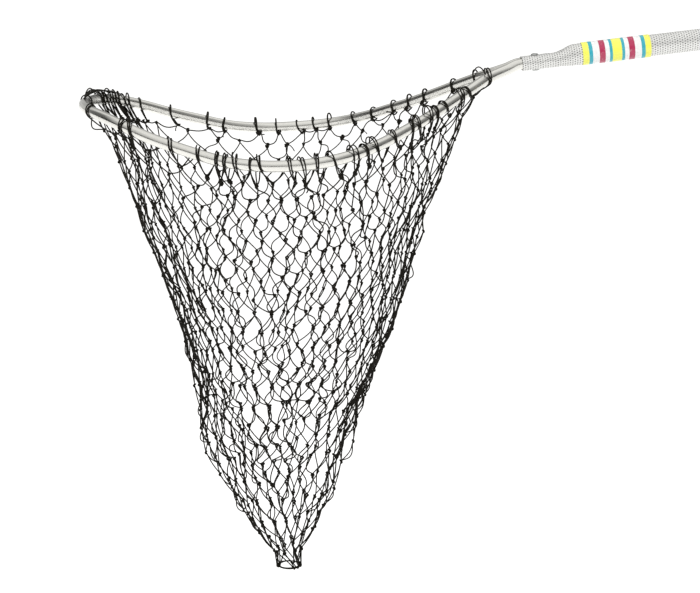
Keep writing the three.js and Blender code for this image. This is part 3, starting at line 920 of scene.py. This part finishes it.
def tube_finish(colour):
    """Polished drawn tube: fine lengthwise lines, soft rub marks and a few scuffs."""
    finish = Finish("polished_tube", Metallic=1.0)
    lines = finish.noise(1.0, 3.0, stretch=(0.004, 9.0))
    rub = finish.noise(1.0, 4.0, stretch=(0.05, 1.6))
    scuff = finish.between(finish.noise(260.0, 6.0), 0.0, 1.0, 0.60, 0.72)
    lined = finish.between(lines, 0, 1, 0.35, 0.65)
    tone = finish.blend(lined, scaled(colour, 0.86), scaled(colour, 1.05))
    tone = finish.blend(finish.math("MULTIPLY", scuff, 0.35), tone, scaled(colour, 0.62))
    rough = finish.between(rub, 0.15, 0.30, 0.3, 0.7)
    rough = finish.math("ADD", rough, finish.math("MULTIPLY", scuff, 0.14))
    normal = finish.bump(lines, 0.00003, 0.6)
    return finish.wire(Base_Color=tone, Roughness=rough, Normal=normal)


def handle_finish(colour, pit_pitch):
    """Pale satin tube whose pressed pits are painted darker towards their bottoms: painted shade in the
    hollows.
    """
    finish = Finish("pitted_tube", Metallic=0.55)
    along, around = finish.lay()
    first = finish.math("COSINE", finish.math("MULTIPLY", along, TAU / pit_pitch))
    first = finish.math("POWER", first, 3.0)
    second = finish.math("COSINE", finish.math("MULTIPLY", around, TAU * PIT_ROWS))
    pit = finish.between(finish.math("MULTIPLY", first, second), 0, 1, 0.22, 0.5)
    patch = finish.noise(45.0, 3.0)
    grain = finish.noise(900.0, 4.0)
    patchy = finish.between(patch, 0, 1, 0.3, 0.7)
    tone = finish.blend(patchy, scaled(colour, 0.78), scaled(colour, 0.84))
    # Painted shade: the pits are blended to nearly black, as the shade in their hollows.
    tone = finish.blend(finish.math("MULTIPLY", pit, 0.96), tone, scaled(colour, 0.04))
    rough = finish.between(grain, 0.30, 0.44, 0.3, 0.7)
    rough = finish.math("ADD", rough, finish.math("MULTIPLY", pit, 0.2))
    return finish.wire(Base_Color=tone, Roughness=rough, Normal=finish.bump(grain, 0.00004, 0.5))


def rivet_finish(colour):
    """Dull metal with a patchy, slightly hammered face."""
    finish = Finish("rivet_metal", Metallic=1.0)
    patch = finish.noise(700.0, 5.0)
    patchy = finish.between(patch, 0, 1, 0.35, 0.65)
    tone = finish.blend(patchy, scaled(colour, 0.7), scaled(colour, 1.05))
    rough = finish.between(patch, 0.28, 0.5, 0.3, 0.7)
    return finish.wire(Base_Color=tone, Roughness=rough, Normal=finish.bump(patch, 0.00008, 0.5))


def label_finish(rings):
    """Glossy printed film in plain rings, faintly scuffed, with the tube's pits just showing through."""
    finish = Finish("label_film", Coat_Weight=0.35, Coat_Roughness=0.12)
    along, around = finish.lay()
    stops = []
    start = 0.0
    for width, colour in rings:
        stops.append((start / LABEL_LENGTH, colour))
        start += width
    printed = finish.ramp(finish.math("DIVIDE", along, LABEL_LENGTH), stops, "CONSTANT")
    scuff = finish.between(finish.noise(320.0, 6.0), 0.0, 1.0, 0.58, 0.70)
    ink = finish.noise(1400.0, 3.0)
    tone = finish.blend(finish.between(ink, 0.0, 0.04, 0.3, 0.7), printed, (0.9, 0.9, 0.88))
    tone = finish.blend(finish.math("MULTIPLY", scuff, 0.22), tone, (0.5, 0.49, 0.45))
    rough = finish.between(scuff, 0.28, 0.5)
    first = finish.math("COSINE", finish.math("MULTIPLY", along, TAU / PIT_PITCH))
    second = finish.math("COSINE", finish.math("MULTIPLY", around, TAU * PIT_ROWS))
    pressed = finish.math("MULTIPLY", finish.math("MULTIPLY", first, second), -1.0)
    normal = finish.bump(pressed, 0.00006, 0.6)
    return finish.wire(Base_Color=tone, Roughness=rough, Normal=normal)


def twine_finish(name, colour, plies, lay_length):
    """Matt braided twine: slanting plies painted lighter on their crowns and darker in the grooves between
    them (painted highlight and painted shade), a little fuzz and patches of dust.
    """
    finish = Finish(name, Specular_IOR_Level=0.12)
    along, around = finish.lay()
    phase = finish.math("ADD", finish.math("MULTIPLY", along, TAU / lay_length),
                        finish.math("MULTIPLY", around, TAU * plies))
    ply = finish.math("ABSOLUTE", finish.math("SINE", phase))
    fuzz = finish.noise(5200.0, 3.0)
    dust = finish.noise(160.0, 3.0)
    # Painted highlight and painted shade: the plies' crowns are lighter and the grooves between them darker.
    tone = finish.blend(ply, scaled(colour, 0.4), scaled(colour, 1.1))
    tone = finish.blend(finish.between(dust, 0.0, 0.5, 0.5, 0.8), tone, scaled(colour, 2.2))
    rough = finish.between(fuzz, 0.72, 0.95, 0.3, 0.7)
    normal = finish.bump(ply, 0.00012, 0.8)
    normal = finish.bump(fuzz, 0.00005, 0.6, normal)
    return finish.wire(Base_Color=tone, Roughness=rough, Normal=normal)


@functools.lru_cache(maxsize=None)
def net_finish(colour):
    return twine_finish("net_twine", colour, 2, 4.2)


# ---------------------------------------------------------------- settings

def length_setting(name, description, default, low, high):
    return bpy.props.FloatProperty(
        name=name, description=description, default=default, min=low, max=high,
        precision=5, subtype="DISTANCE", unit="LENGTH")


def colour_setting(name, description, default):
    return bpy.props.FloatVectorProperty(
        name=name, description=description, default=default, min=0, max=1, size=3, subtype="COLOR")


def slot_colour(slot):
    """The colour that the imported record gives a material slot."""
    for material in frame["record"].get("materials", []):
        if material.get("slot") == slot:
            return tuple(material["base_color"][:3])
    raise RuntimeError(f"the record has no material slot {slot}")


class HoopSettings(bpy.types.PropertyGroup):
    """The bent tube that holds the bag open"""
    tube: length_setting("Tube", "Outside diameter of the hoop's tube", 0.0127, 0.008, 0.016)
    colour: colour_setting("Colour", "Colour of the polished tube", (0.795, 0.785, 0.745))


class HandleSettings(bpy.types.PropertyGroup):
    """The pitted tube pressed over the hoop's legs"""
    tube: length_setting("Tube", "Outside diameter of the handle's tube", 0.0254, 0.02, 0.028)
    pit_pitch: length_setting(
        "Pit pitch", "Distance between two pits of one row", PIT_PITCH * MM, 0.004, 0.008)
    pit_depth: length_setting("Pit depth", "Depth of the pressed pits", 0.00032, 0.0, 0.0008)
    colour: colour_setting("Colour", "Colour of the satin tube", slot_colour("handle_tube"))


class RivetSettings(bpy.types.PropertyGroup):
    """The rivet through the pressed neck"""
    colour: colour_setting("Colour", "Colour of the rivet's heads", slot_colour("rivet_metal"))


class LabelSettings(bpy.types.PropertyGroup):
    """The ringed film round the handle"""
    film: length_setting("Film", "Thickness of the printed film", 0.0004, 0.0001, 0.001)
    ground: colour_setting("Ground", "Colour of the ground", (0.80, 0.80, 0.09))
    line: colour_setting("Line", "Colour of the narrow rings", (0.005, 0.34, 0.43))
    field: colour_setting("Field", "Colour of the pale rings", (0.76, 0.76, 0.75))
    accent: colour_setting("Accent", "Colour of the strong rings", (0.38, 0.0, 0.06))


class NetSettings(bpy.types.PropertyGroup):
    """The knotted twine of the bag, its loops and its draw ring"""
    bar: length_setting("Bar", "Twine between two neighbouring knots", 0.0300, 0.028, 0.034)
    twine: length_setting("Twine", "Diameter of the twine", 0.00155, 0.0006, 0.002)
    colour: colour_setting("Colour", "Colour of the twine", (0.014, 0.0125, 0.0095))
    seed: bpy.props.IntProperty(name="Seed", description="Picks how the bag falls", default=11, min=0)


class StageSettings(bpy.types.PropertyGroup):
    """The floor, the light and the camera"""
    floor_colour: colour_setting("Floor", "Colour of the floor", (0.36, 0.36, 0.36))
    lens: bpy.props.FloatProperty(
        name="Lens", description="Focal length of the camera", default=87.43, min=20, max=300,
        subtype="DISTANCE_CAMERA")
    strength: bpy.props.FloatProperty(
        name="Strength", description="Strength of the light from all round", default=1.0, min=0, max=5,
        subtype="FACTOR")


# ---------------------------------------------------------------- forms

def press_neck(along, turn, radius, tube):
    """A point of the handle's wall, pressed to a flat-sided section towards the neck's mouth."""
    past = smooth_step(NECK_LENGTH, NECK_LENGTH + NECK_SHOULDER, along)
    round_y = radius * np.cos(turn)
    round_z = radius * np.sin(turn)
    pressed = radius - (tube - NECK_HEIGHT) / 2
    turn = np.arctan2(round_z, round_y)
    from_level = np.minimum(np.abs(turn), math.pi - np.abs(turn))
    reach = np.minimum(np.abs(np.cos(turn)) * NECK_FLATNESS, 1) * LEG_OFFSET
    bend = np.minimum(from_level / math.acos(1 / NECK_FLATNESS), 1) * (math.pi / 2)
    y = np.sign(np.cos(turn)) * (reach + pressed * np.cos(bend))
    z = np.sign(turn) * pressed * np.sin(bend) - NECK_DROP
    return np.stack([along, y + (round_y - y) * past, z + (round_z - z) * past], -1)


def handle_form(tube, pitch, depth):
    """The handle's wall as one closed skin: inner wall, mouth, pitted outer wall and closed butt."""
    outer = tube / 2
    inner = outer - HANDLE_WALL
    sides = PIT_ROWS * PIT_SIDES
    lip = [(HANDLE_WALL / 2 * (1 - math.sin(a)), outer - HANDLE_WALL / 2 * (1 + math.cos(a)))
           for a in np.linspace(0, math.pi, 7)]
    inside = [(HANDLE_LENGTH - BUTT_THICKNESS, inner)]
    inside += [(along, inner) for along in np.linspace(NECK_LENGTH + NECK_SHOULDER, 2, 24)]
    butt = [(HANDLE_LENGTH - BUTT_EDGE * (1 - math.sin(a)), outer - BUTT_EDGE * (1 - math.cos(a)))
            for a in np.linspace(0, math.pi / 2, 6)]
    step = pitch / PIT_STEPS
    stations = np.arange(HANDLE_WALL, HANDLE_LENGTH - BUTT_EDGE - step / 2, step)
    outside = [(along, outer) for along in stations]
    profile = np.array(inside + lip + outside + butt)
    turn = np.arange(sides) / sides * TAU
    along = np.broadcast_to(profile[:, :1], (len(profile), sides)).copy()
    radius = np.broadcast_to(profile[:, 1:], along.shape).copy()
    on_outside = (profile[:, 1:] > outer - 1e-6).astype(float)
    lattice = np.cos(along * TAU / pitch) ** 3 * np.cos(turn * PIT_ROWS)
    radius -= depth * smooth_step(0.2, 0.8, lattice) * on_outside
    # The pressing left the neck's faces a little uneven.
    uneven = np.sin(along * 0.31 + 1.3 * np.cos(2 * turn)) * np.sin(3 * turn + along * 0.11)
    on_neck = (1 - smooth_step(NECK_LENGTH - 6, NECK_LENGTH + 22, along)) * smooth_step(3, 12, along)
    radius += 0.22 * uneven * on_neck
    points = press_neck(along, turn[None, :], radius, tube)
    return skin(handle_to_model(points)[None], profile[None, :, 0])


def rivet_form():
    """Two domed heads with a flat rim, joined by the shank."""
    seat = NECK_HEIGHT / 2 + GAP
    head = [(seat, RIVET_SHANK), (seat, RIVET_HEAD - RIVET_EDGE), (seat + RIVET_EDGE, RIVET_HEAD),
            (seat + RIVET_RIM, RIVET_HEAD)]
    for turn in np.linspace(0.12, math.pi / 2, 12):
        rise = RIVET_RIM + (RIVET_HEAD_HEIGHT - RIVET_RIM) * math.sin(turn)
        head.append((seat + rise, max(RIVET_HEAD * math.cos(turn), 0.05)))
    profile = [(-along, radius) for along, radius in reversed(head)] + head

    def place(points):
        along, across, over = np.moveaxis(points, -1, 0)
        return handle_to_model(np.stack([RIVET_ALONG + across, over, along - NECK_DROP], -1))

    return lathe(profile, 40, place)


def label_form(tube, film):
    """A film band with rounded edges and a lapped seam."""
    inner = tube / 2 + GAP
    sides = 120
    edge = film / 2
    ends = [(edge * (1 - math.sin(a)), inner + edge * (1 - math.cos(a))) for a in np.linspace(0, math.pi, 7)]
    outside = [(along, inner + film) for along in np.linspace(edge * 2, LABEL_LENGTH - edge * 2, 40)]
    far = [(LABEL_LENGTH - along, radius) for along, radius in reversed(ends)]
    inside = [(along, inner) for along in np.linspace(LABEL_LENGTH - edge * 2, edge * 2, 6)]
    profile = np.array(ends + outside + far + inside + ends[:1])
    turn = np.arange(sides) / sides * TAU
    along = np.broadcast_to(profile[:, :1] + LABEL_START, (len(profile), sides))
    radius = np.broadcast_to(profile[:, 1:], along.shape).copy()
    rise_from, rise_to, fall_from, fall_to = np.radians(LAP_DEGREES)
    lap = smooth_step(rise_from, rise_to, turn) * (1 - smooth_step(fall_from, fall_to, turn))
    radius += LAP_RISE * lap * (profile[:, 1:] > inner + edge)
    points = np.stack([along, radius * np.cos(turn), radius * np.sin(turn)], -1)
    corners, faces, corner_map = skin(handle_to_model(points)[None], profile[None, :, 0])
    # The profile closes on itself, so the two end caps aren't needed.
    capless = faces[:-2]
    return corners, capless, corner_map[:4 * len(capless)]


# ---------------------------------------------------------------- twine forms

# A netting knot in its own frame (across, outward, up): the loop that hangs down from above, and the
# twine that comes up through it, round its back and down across itself.
HANGING_LOOP = ((-0.9, 0, 1.2), (-0.68, -0.1, 0.6), (-0.65, 0.05, -0.6), (-0.45, 0.35, -1.55),
                (0.45, 0.35, -1.55), (0.65, 0.05, -0.6), (0.68, -0.1, 0.6), (0.9, 0, 1.2))
WRAPPED_TWINE = ((-0.9, 0, -1.2), (-0.65, 0.85, -0.9), (0.2, 1.3, 0.05), (1.4, 0.65, 0.85),
                 (1.5, -0.7, 1.25), (0, -1.3, 1.25), (-1.5, -0.7, 1.0), (-1.5, 0.6, 0.5),
                 (-0.25, 1.4, -0.3), (0.65, 0.95, -1.0), (0.9, 0, -1.2))
KNOT_TWINE = 1.05            # the twine's radius in a knot, against its radius elsewhere
TAIL_TWINE = 0.9             # and in a loose end
MESH_SIDES = 5               # sides of the twine in a mesh, in a knot or loose end, and in a loop or the ring
KNOT_SIDES = 6
LOOP_SIDES = 8
SECOND_RISE = 1.9            # a second knot lies this far up the first one's axis
THIRD_DROP = 1.2             # and a third one this far down it and this far to one side
THIRD_SHIFT = 1.6
HITCH_TAILS = (0.4, 0.2)     # share of the hitches with a loose end, and how far up or down it may point
DOUBLED_TAILS = (0.35, 0.5)  # the same for the doubled knots
TAIL_RUN = (6, 14)           # the shortest and the longest loose end


def even_points(chains, points):
    """The same chains with their points evenly spaced."""
    made = []
    for chain in chains:
        reached = np.r_[0, np.cumsum(length(np.diff(chain, axis=0))[:, 0])]
        wanted = np.linspace(0, reached[-1], points)
        made.append(np.stack([np.interp(wanted, reached, chain[:, k]) for k in range(3)], -1))
    return np.array(made)


def refined(chains, steps, points):
    """The chains as smooth lines with their points evenly spaced."""
    return even_points([smooth_line(chain, steps) for chain in chains], points)


def knot_strands(net, strand, points, rng):
    """One strand of every knot, laid in the knot's own frame with small differences."""
    strand = np.array(strand)
    wobble = rng.normal(0, 0.10, (len(net["knots"]), len(strand), 3))
    wobble[:, (0, -1)] = 0
    local = (strand + wobble) * net["size"][:, None]
    facing = np.cross(net["across"], net["axis"])
    facing = unit(facing) * np.sign(dot(facing, net["outward"]))
    chains = net["knots"][:, None] + local[..., :1] * net["across"][:, None]
    chains = chains + local[..., 1:2] * facing[:, None] + local[..., 2:] * net["axis"][:, None]
    return refined(chains, 4, points)


def curled_tail(start, direction, run, curl, points=12):
    """A short free end of twine that bends steadily to one side."""
    direction = unit(np.asarray(direction, float))
    side = unit(np.cross(direction, curl))
    chain = [np.asarray(start, float)]
    step = run / (points - 1)
    bend = float(length(np.asarray(curl, float))[0]) * step
    for _ in range(points - 1):
        direction = unit(direction + np.cross(side, direction) * -bend)
        chain.append(chain[-1] + direction * step)
    return np.array(chain)


# ---------------------------------------------------------------- stage

def lay_stage_piece(name, points, faces, finish):
    """A piece of the stage, which isn't part of the object."""
    mesh = bpy.data.meshes.new(name)
    mesh.from_pydata(points, [], faces)
    mesh.materials.append(finish)
    piece = bpy.data.objects.new(name, mesh)
    bpy.context.scene.collection.objects.link(piece)
    return piece


def pale_finish(name, colour, grain, **values):
    """A glowing, very faintly mottled surface."""
    finish = Finish(name, Emission_Color=PALE, **values)
    return finish.wire(Base_Color=finish.blend(finish.noise(grain), scaled(colour, 0.99), colour))


def lay_floor(colour):
    """A pale floor, far wider than the view."""
    paint = pale_finish(
        "floor_paint", colour, 0.8, Roughness=0.9, Specular_IOR_Level=0.1, Emission_Strength=0.86)
    corners = [(x * FLOOR_HALF, y * FLOOR_HALF, FLOOR_LEVEL) for x, y in ((-1, -1), (1, -1), (1, 1), (-1, 1))]
    lay_stage_piece("floor", corners, [(0, 1, 2, 3)], paint)


def raise_backdrop(colour):
    """A round pale backdrop that hides the room's dark end and neither lights nor mirrors in the net."""
    paper = pale_finish(
        "backdrop_paper", colour, 0.3, Roughness=1.0, Specular_IOR_Level=0.0, Emission_Strength=1.0)
    turn = np.arange(BACKDROP_SIDES) / BACKDROP_SIDES * TAU
    ring = BACKDROP_RADIUS * np.stack([np.cos(turn), np.sin(turn)], 1)
    points = [(x, y, height) for height in (FLOOR_LEVEL, BACKDROP_TOP) for x, y in ring]
    faces = []
    for side in range(BACKDROP_SIDES):
        after = (side + 1) % BACKDROP_SIDES
        faces.append((side, after, BACKDROP_SIDES + after, BACKDROP_SIDES + side))
    backdrop = lay_stage_piece("backdrop", points, faces, paper)
    backdrop.visible_diffuse = False
    backdrop.visible_glossy = False
    backdrop.visible_transmission = False
    backdrop.visible_shadow = False


def soft_room(strength):
    """The light from all round: pale overhead and dark towards the horizon."""
    world = bpy.data.worlds.new("soft_room")
    world.use_nodes = True
    room = Nodes(world.node_tree)
    sky = room.tree.nodes["Background"]
    sky.inputs["Strength"].default_value = strength
    split = room.node("SeparateXYZ", {0: room.node("TexCoord").outputs["Generated"]})
    x, y, z = (split.outputs[axis] for axis in "XYZ")
    shade = room.ramp(z, [(height, (light, light, light * 0.985)) for height, light in ROOM_SHADES])

    # The room is darker at its sides, straight behind and in the corner behind the hoop's tip. That greys
    # the hoop's legs, its upper edge and its tube beside the tip.
    side = room.math("MAXIMUM", x, room.math("MULTIPLY", x, -0.55))
    behind = room.math("MAXIMUM", y)
    at_sides = room.math("SUBTRACT", side, room.math("MULTIPLY", behind, 1.2))
    at_back = room.math("SUBTRACT", y, side)
    from_corner = room.math("ABSOLUTE", room.math("SUBTRACT", y, 0.35))
    at_corner = room.math("MULTIPLY_ADD", x, -1.0, room.math("MULTIPLY", from_corner, -1.0))
    dims = ((at_sides, 0.25, 0.75, 0.30), (at_back, 0.30, 0.85, 0.40), (at_corner, 0.25, 0.60, 0.15))
    for place, start, end, darkest in dims:
        dim = room.between(place, 1.0, darkest, start, end)
        shade = room.node("VectorMath", {0: shade, "Scale": dim}, operation="SCALE").outputs[0]

    # Low down behind, the room is lighter again, which brightens the hoop's bend at the tip.
    low = room.math("MULTIPLY_ADD", z, -6.0, 2.0)
    far = room.math("MULTIPLY_ADD", y, 3.0, -1.05)
    lit = room.math("MULTIPLY", room.math("MINIMUM", low, 1.0), room.math("MINIMUM", far, 1.0))
    lit = room.math("MULTIPLY", lit, room.math("GREATER_THAN", room.math("MINIMUM", low, far)))
    lit = room.math("MULTIPLY", lit, 0.6)
    room.tree.links.new(room.blend(lit, shade, (0.95, 0.95, 0.94)), sky.inputs["Color"])
    return world


def hang_lamps(scene):
    """Large square lamps that don't mirror in the tubes."""
    for name, place, size, power in LAMPS:
        lamp = bpy.data.lights.new(name, "AREA")
        lamp.shape = "SQUARE"
        lamp.size = size
        lamp.energy = power
        holder = bpy.data.objects.new(name, lamp)
        holder.location = place
        holder.visible_glossy = False
        holder.rotation_euler = (Vector(LAMP_AIM) - Vector(place)).to_track_quat("-Z", "Y").to_euler()
        scene.collection.objects.link(holder)


def place_camera(scene, lens):
    """A camera a little above the hoop that looks down on it from its near side."""
    camera_data = bpy.data.cameras.new("camera")
    camera_data.sensor_width = 36.0
    camera_data.lens = lens
    camera_data.clip_end = 400.0
    camera = bpy.data.objects.new("camera", camera_data)
    right = Vector((math.cos(CAMERA_YAW), -math.sin(CAMERA_YAW), 0))
    level = math.cos(CAMERA_PITCH)
    ahead = Vector((math.sin(CAMERA_YAW) * level, math.cos(CAMERA_YAW) * level, -math.sin(CAMERA_PITCH)))
    turn = Matrix((right, right.cross(ahead), -ahead)).transposed().to_4x4()
    camera.matrix_world = Matrix.Translation(CAMERA_PLACE) @ turn
    scene.collection.objects.link(camera)
    scene.camera = camera


# ---------------------------------------------------------------- operators

def in_model(form):
    """A form from the hoop's frame in the model's frame."""
    points, faces, corner_map = form
    return points + HOOP_PLACE, faces, corner_map


def twine_piece(name, form, settings, replaced=()):
    """A piece of the net, in its twine's finish."""
    return new_piece(name, in_model(form), net_finish(tuple(settings.colour)), replaced)


def net_of(context, picks):
    """The hung bag, its settings, its twine's radius and the random numbers of one operator's own."""
    settings = context.scene.wading_net_twine
    net = hang_net(round(settings.bar / MM, 4), settings.seed)
    return net, settings, settings.twine / MM / 2, np.random.default_rng(settings.seed + picks)


class WADINGNET_OT_hoop(bpy.types.Operator):
    """Sweep the bowed hoop from the same line as the CAD model"""
    bl_idname = "wading_net.hoop"
    bl_label = "Hoop"

    def execute(self, context):
        settings = context.scene.wading_net_hoop
        form = in_model(sweep(HOOP.points[None, ::2], settings.tube / MM / 2, 48))
        piece = new_piece("hoop_tube", form, tube_finish(tuple(settings.colour)), ["hoop"])
        soften_edges(piece)
        return {"FINISHED"}


class WADINGNET_OT_handle(bpy.types.Operator):
    """Press the neck and the rows of pits into the handle's tube"""
    bl_idname = "wading_net.handle"
    bl_label = "Handle"

    def execute(self, context):
        settings = context.scene.wading_net_handle
        pitch = settings.pit_pitch / MM
        form = handle_form(settings.tube / MM, pitch, settings.pit_depth / MM)
        finish = handle_finish(tuple(settings.colour), pitch)
        piece = new_piece("handle_tube", form, finish, ["handle"])
        soften_edges(piece)
        return {"FINISHED"}


class WADINGNET_OT_rivet(bpy.types.Operator):
    """Turn the rivet that holds the hoop's two legs in the neck"""
    bl_idname = "wading_net.rivet"
    bl_label = "Rivet"

    def execute(self, context):
        finish = rivet_finish(tuple(context.scene.wading_net_rivet.colour))
        piece = new_piece("neck_rivet", rivet_form(), finish, ["rivet"])
        soften_edges(piece)
        return {"FINISHED"}


class WADINGNET_OT_label(bpy.types.Operator):
    """Wrap the plain ringed film round the handle"""
    bl_idname = "wading_net.label"
    bl_label = "Label Band"

    def execute(self, context):
        settings = context.scene.wading_net_label
        layout = (*LABEL_RINGS, LABEL_MIDDLE, *reversed(LABEL_RINGS))
        rings = [(width, tuple(getattr(settings, colour))) for width, colour in layout]
        form = label_form(context.scene.wading_net_handle.tube / MM, settings.film / MM)
        new_piece("label_film", form, label_finish(rings), ["label_band"])
        return {"FINISHED"}


class WADINGNET_OT_netting(bpy.types.Operator):
    """Hang the bag and draw its twine and its knots"""
    bl_idname = "wading_net.netting"
    bl_label = "Netting"

    def execute(self, context):
        net, settings, radius, rng = net_of(context, 1)
        bars = sweep(refined(net["chains"], 3, 11), radius, MESH_SIDES)
        netting = twine_piece("netting", bars, settings, ["net_bag"])
        for name, strand, points in (("knot_loops", HANGING_LOOP, 9), ("knot_wraps", WRAPPED_TWINE, 15)):
            form = sweep(knot_strands(net, strand, points, rng), radius * KNOT_TWINE, KNOT_SIDES)
            twine_piece(name, form, settings)
        if netting.data.polygons[0].area <= 0:
            raise RuntimeError("the netting has no surface")
        return {"FINISHED"}


class WADINGNET_OT_rim_loops(bpy.types.Operator):
    """Draw the doubled loops that hold the bag to the hoop, and the loose ends"""
    bl_idname = "wading_net.rim_loops"
    bl_label = "Rim Loops"

    def execute(self, context):
        net, settings, radius, rng = net_of(context, 2)
        tube = context.scene.wading_net_hoop.tube / MM / 2
        loops = near_loops(net, tube, rng)
        rings, bars, hitches = far_hitches(net, tube, rng)
        strands = [refined(chains, 3, 48) for chains in (loops, rings, bars, single_stretches(tube))]
        twine_piece("rim_loops", sweep(np.concatenate(strands), radius, LOOP_SIDES), settings)

        # Every far hitch, and some of the first knots, are bulkier than a mesh knot.
        first = np.arange(ROW_KNOTS[0])
        doubled = first[rng.random(len(first)) < DOUBLED_KNOTS]
        tripled = doubled[rng.random(len(doubled)) < TRIPLED_KNOTS]
        second, third = (
            {key: net[key][chosen] for key in ("knots", "axis", "across", "outward", "size")}
            for chosen in (doubled, tripled))
        second["knots"] = second["knots"] + second["axis"] * SECOND_RISE
        third["knots"] = third["knots"] - third["axis"] * THIRD_DROP + third["across"] * THIRD_SHIFT
        turns = []
        for knots in (hitches, second, third):
            for strand in (HANGING_LOOP, WRAPPED_TWINE):
                turns.append(knot_strands(knots, strand, 15, rng))
        twine_piece("rim_knots", sweep(np.concatenate(turns), radius * KNOT_TWINE, KNOT_SIDES), settings)

        tails = []
        for knots, share, drop in ((hitches, *HITCH_TAILS), (second, *DOUBLED_TAILS)):
            for i in np.flatnonzero(rng.random(len(knots["knots"])) < share):
                side = rng.choice([-1, 1])
                way = knots["outward"][i] * 0.7 + knots["across"][i] * side - UP * rng.uniform(-drop, drop)
                bend = rng.normal(0, 0.07, 3) + UP * 0.05
                tails.append(curled_tail(knots["knots"][i], way, rng.uniform(*TAIL_RUN), bend))
        twine_piece("cut_tails", sweep(np.array(tails), radius * TAIL_TWINE, KNOT_SIDES), settings)
        return {"FINISHED"}


class WADINGNET_OT_draw_ring(bpy.types.Operator):
    """Gather the bag's tip: its last meshes strung on a ring of twine"""
    bl_idname = "wading_net.draw_ring"
    bl_label = "Draw Ring"

    def execute(self, context):
        net, settings, radius, rng = net_of(context, 3)
        turn = np.linspace(-0.1, RING_TURNS * TAU, 150)
        spread = DRAW_RING_RADIUS + (turn / TAU - 1) * RING_STEP
        winds = np.stack([spread * np.cos(turn), spread * np.sin(turn), 0.3 * np.sin(1.5 * turn)], -1)
        ring = sweep((DRAW_RING + winds)[None], radius, LOOP_SIDES)
        twine_piece("draw_ring_twine", ring, settings, ["draw_ring"])
        bearing = np.radians(RING_KNOTS)
        spoke = np.stack([np.cos(bearing), np.sin(bearing), 0 * bearing], 1)
        tied = {"knots": DRAW_RING + spoke * (DRAW_RING_RADIUS + 0.8), "outward": spoke,
                "axis": np.cross(UP, spoke), "across": np.broadcast_to(UP, spoke.shape),
                "size": np.full((len(spoke), 1), 1.15)}
        turns = [knot_strands(tied, strand, 15, rng) for strand in (HANGING_LOOP, WRAPPED_TWINE)]
        twine_piece("ring_knots", sweep(np.concatenate(turns), radius * KNOT_TWINE, KNOT_SIDES), settings)
        tails = [
            curled_tail(tied["knots"][i], UP - tied["outward"][i] * 0.6, 5.5, UP * 0.09) for i in RING_TAILS]
        twine_piece("ring_tails", sweep(np.array(tails), radius * TAIL_TWINE, KNOT_SIDES), settings)
        twine_piece("last_meshes", sweep(refined(last_meshes(net), 3, 36), radius, LOOP_SIDES), settings)
        return {"FINISHED"}


class WADINGNET_OT_stage(bpy.types.Operator):
    """Lay the pale floor, set the lights and place the camera"""
    bl_idname = "wading_net.stage"
    bl_label = "Stage"

    def execute(self, context):
        settings = context.scene.wading_net_stage
        scene = context.scene
        lay_floor(tuple(settings.floor_colour))
        raise_backdrop(tuple(settings.floor_colour))
        scene.world = soft_room(settings.strength)
        hang_lamps(scene)
        place_camera(scene, settings.lens)
        scene.view_settings.view_transform = "Standard"
        return {"FINISHED"}


class WADINGNET_PT_panel(bpy.types.Panel):
    """Lists the net's pieces and their settings"""
    bl_idname = "WADINGNET_PT_panel"
    bl_label = "Wading Net"
    bl_space_type = "VIEW_3D"
    bl_region_type = "UI"
    bl_category = "Wading Net"

    def draw(self, context):
        for settings_name, operators in PANEL_ROWS:
            box = self.layout.box()
            settings = getattr(context.scene, settings_name)
            for prop in settings.bl_rna.properties:
                if prop.identifier not in ("rna_type", "name"):
                    box.prop(settings, prop.identifier)
            for operator in operators:
                box.operator(operator.bl_idname)


PANEL_ROWS = (
    ("wading_net_hoop", (WADINGNET_OT_hoop,)),
    ("wading_net_handle", (WADINGNET_OT_handle,)),
    ("wading_net_rivet", (WADINGNET_OT_rivet,)),
    ("wading_net_label", (WADINGNET_OT_label,)),
    ("wading_net_twine", (WADINGNET_OT_netting, WADINGNET_OT_rim_loops, WADINGNET_OT_draw_ring)),
    ("wading_net_stage", (WADINGNET_OT_stage,)),
)
SETTINGS = {
    "wading_net_hoop": HoopSettings,
    "wading_net_handle": HandleSettings,
    "wading_net_rivet": RivetSettings,
    "wading_net_label": LabelSettings,
    "wading_net_twine": NetSettings,
    "wading_net_stage": StageSettings,
}
OPERATORS = [operator for _, operators in PANEL_ROWS for operator in operators]


def register():
    for name, settings in SETTINGS.items():
        bpy.utils.register_class(settings)
        setattr(bpy.types.Scene, name, bpy.props.PointerProperty(type=settings))
    for operator in OPERATORS:
        bpy.utils.register_class(operator)
    bpy.utils.register_class(WADINGNET_PT_panel)


def unregister():
    bpy.utils.unregister_class(WADINGNET_PT_panel)
    for operator in reversed(OPERATORS):
        bpy.utils.unregister_class(operator)
    for name, settings in SETTINGS.items():
        delattr(bpy.types.Scene, name)
        bpy.utils.unregister_class(settings)


def main():
    register()
    bpy.ops.wading_net.stage()
    bpy.ops.wading_net.hoop()
    bpy.ops.wading_net.handle()
    bpy.ops.wading_net.rivet()
    bpy.ops.wading_net.label()
    bpy.ops.wading_net.netting()
    bpy.ops.wading_net.rim_loops()
    bpy.ops.wading_net.draw_ring()


if __name__ == "__main__":
    main()
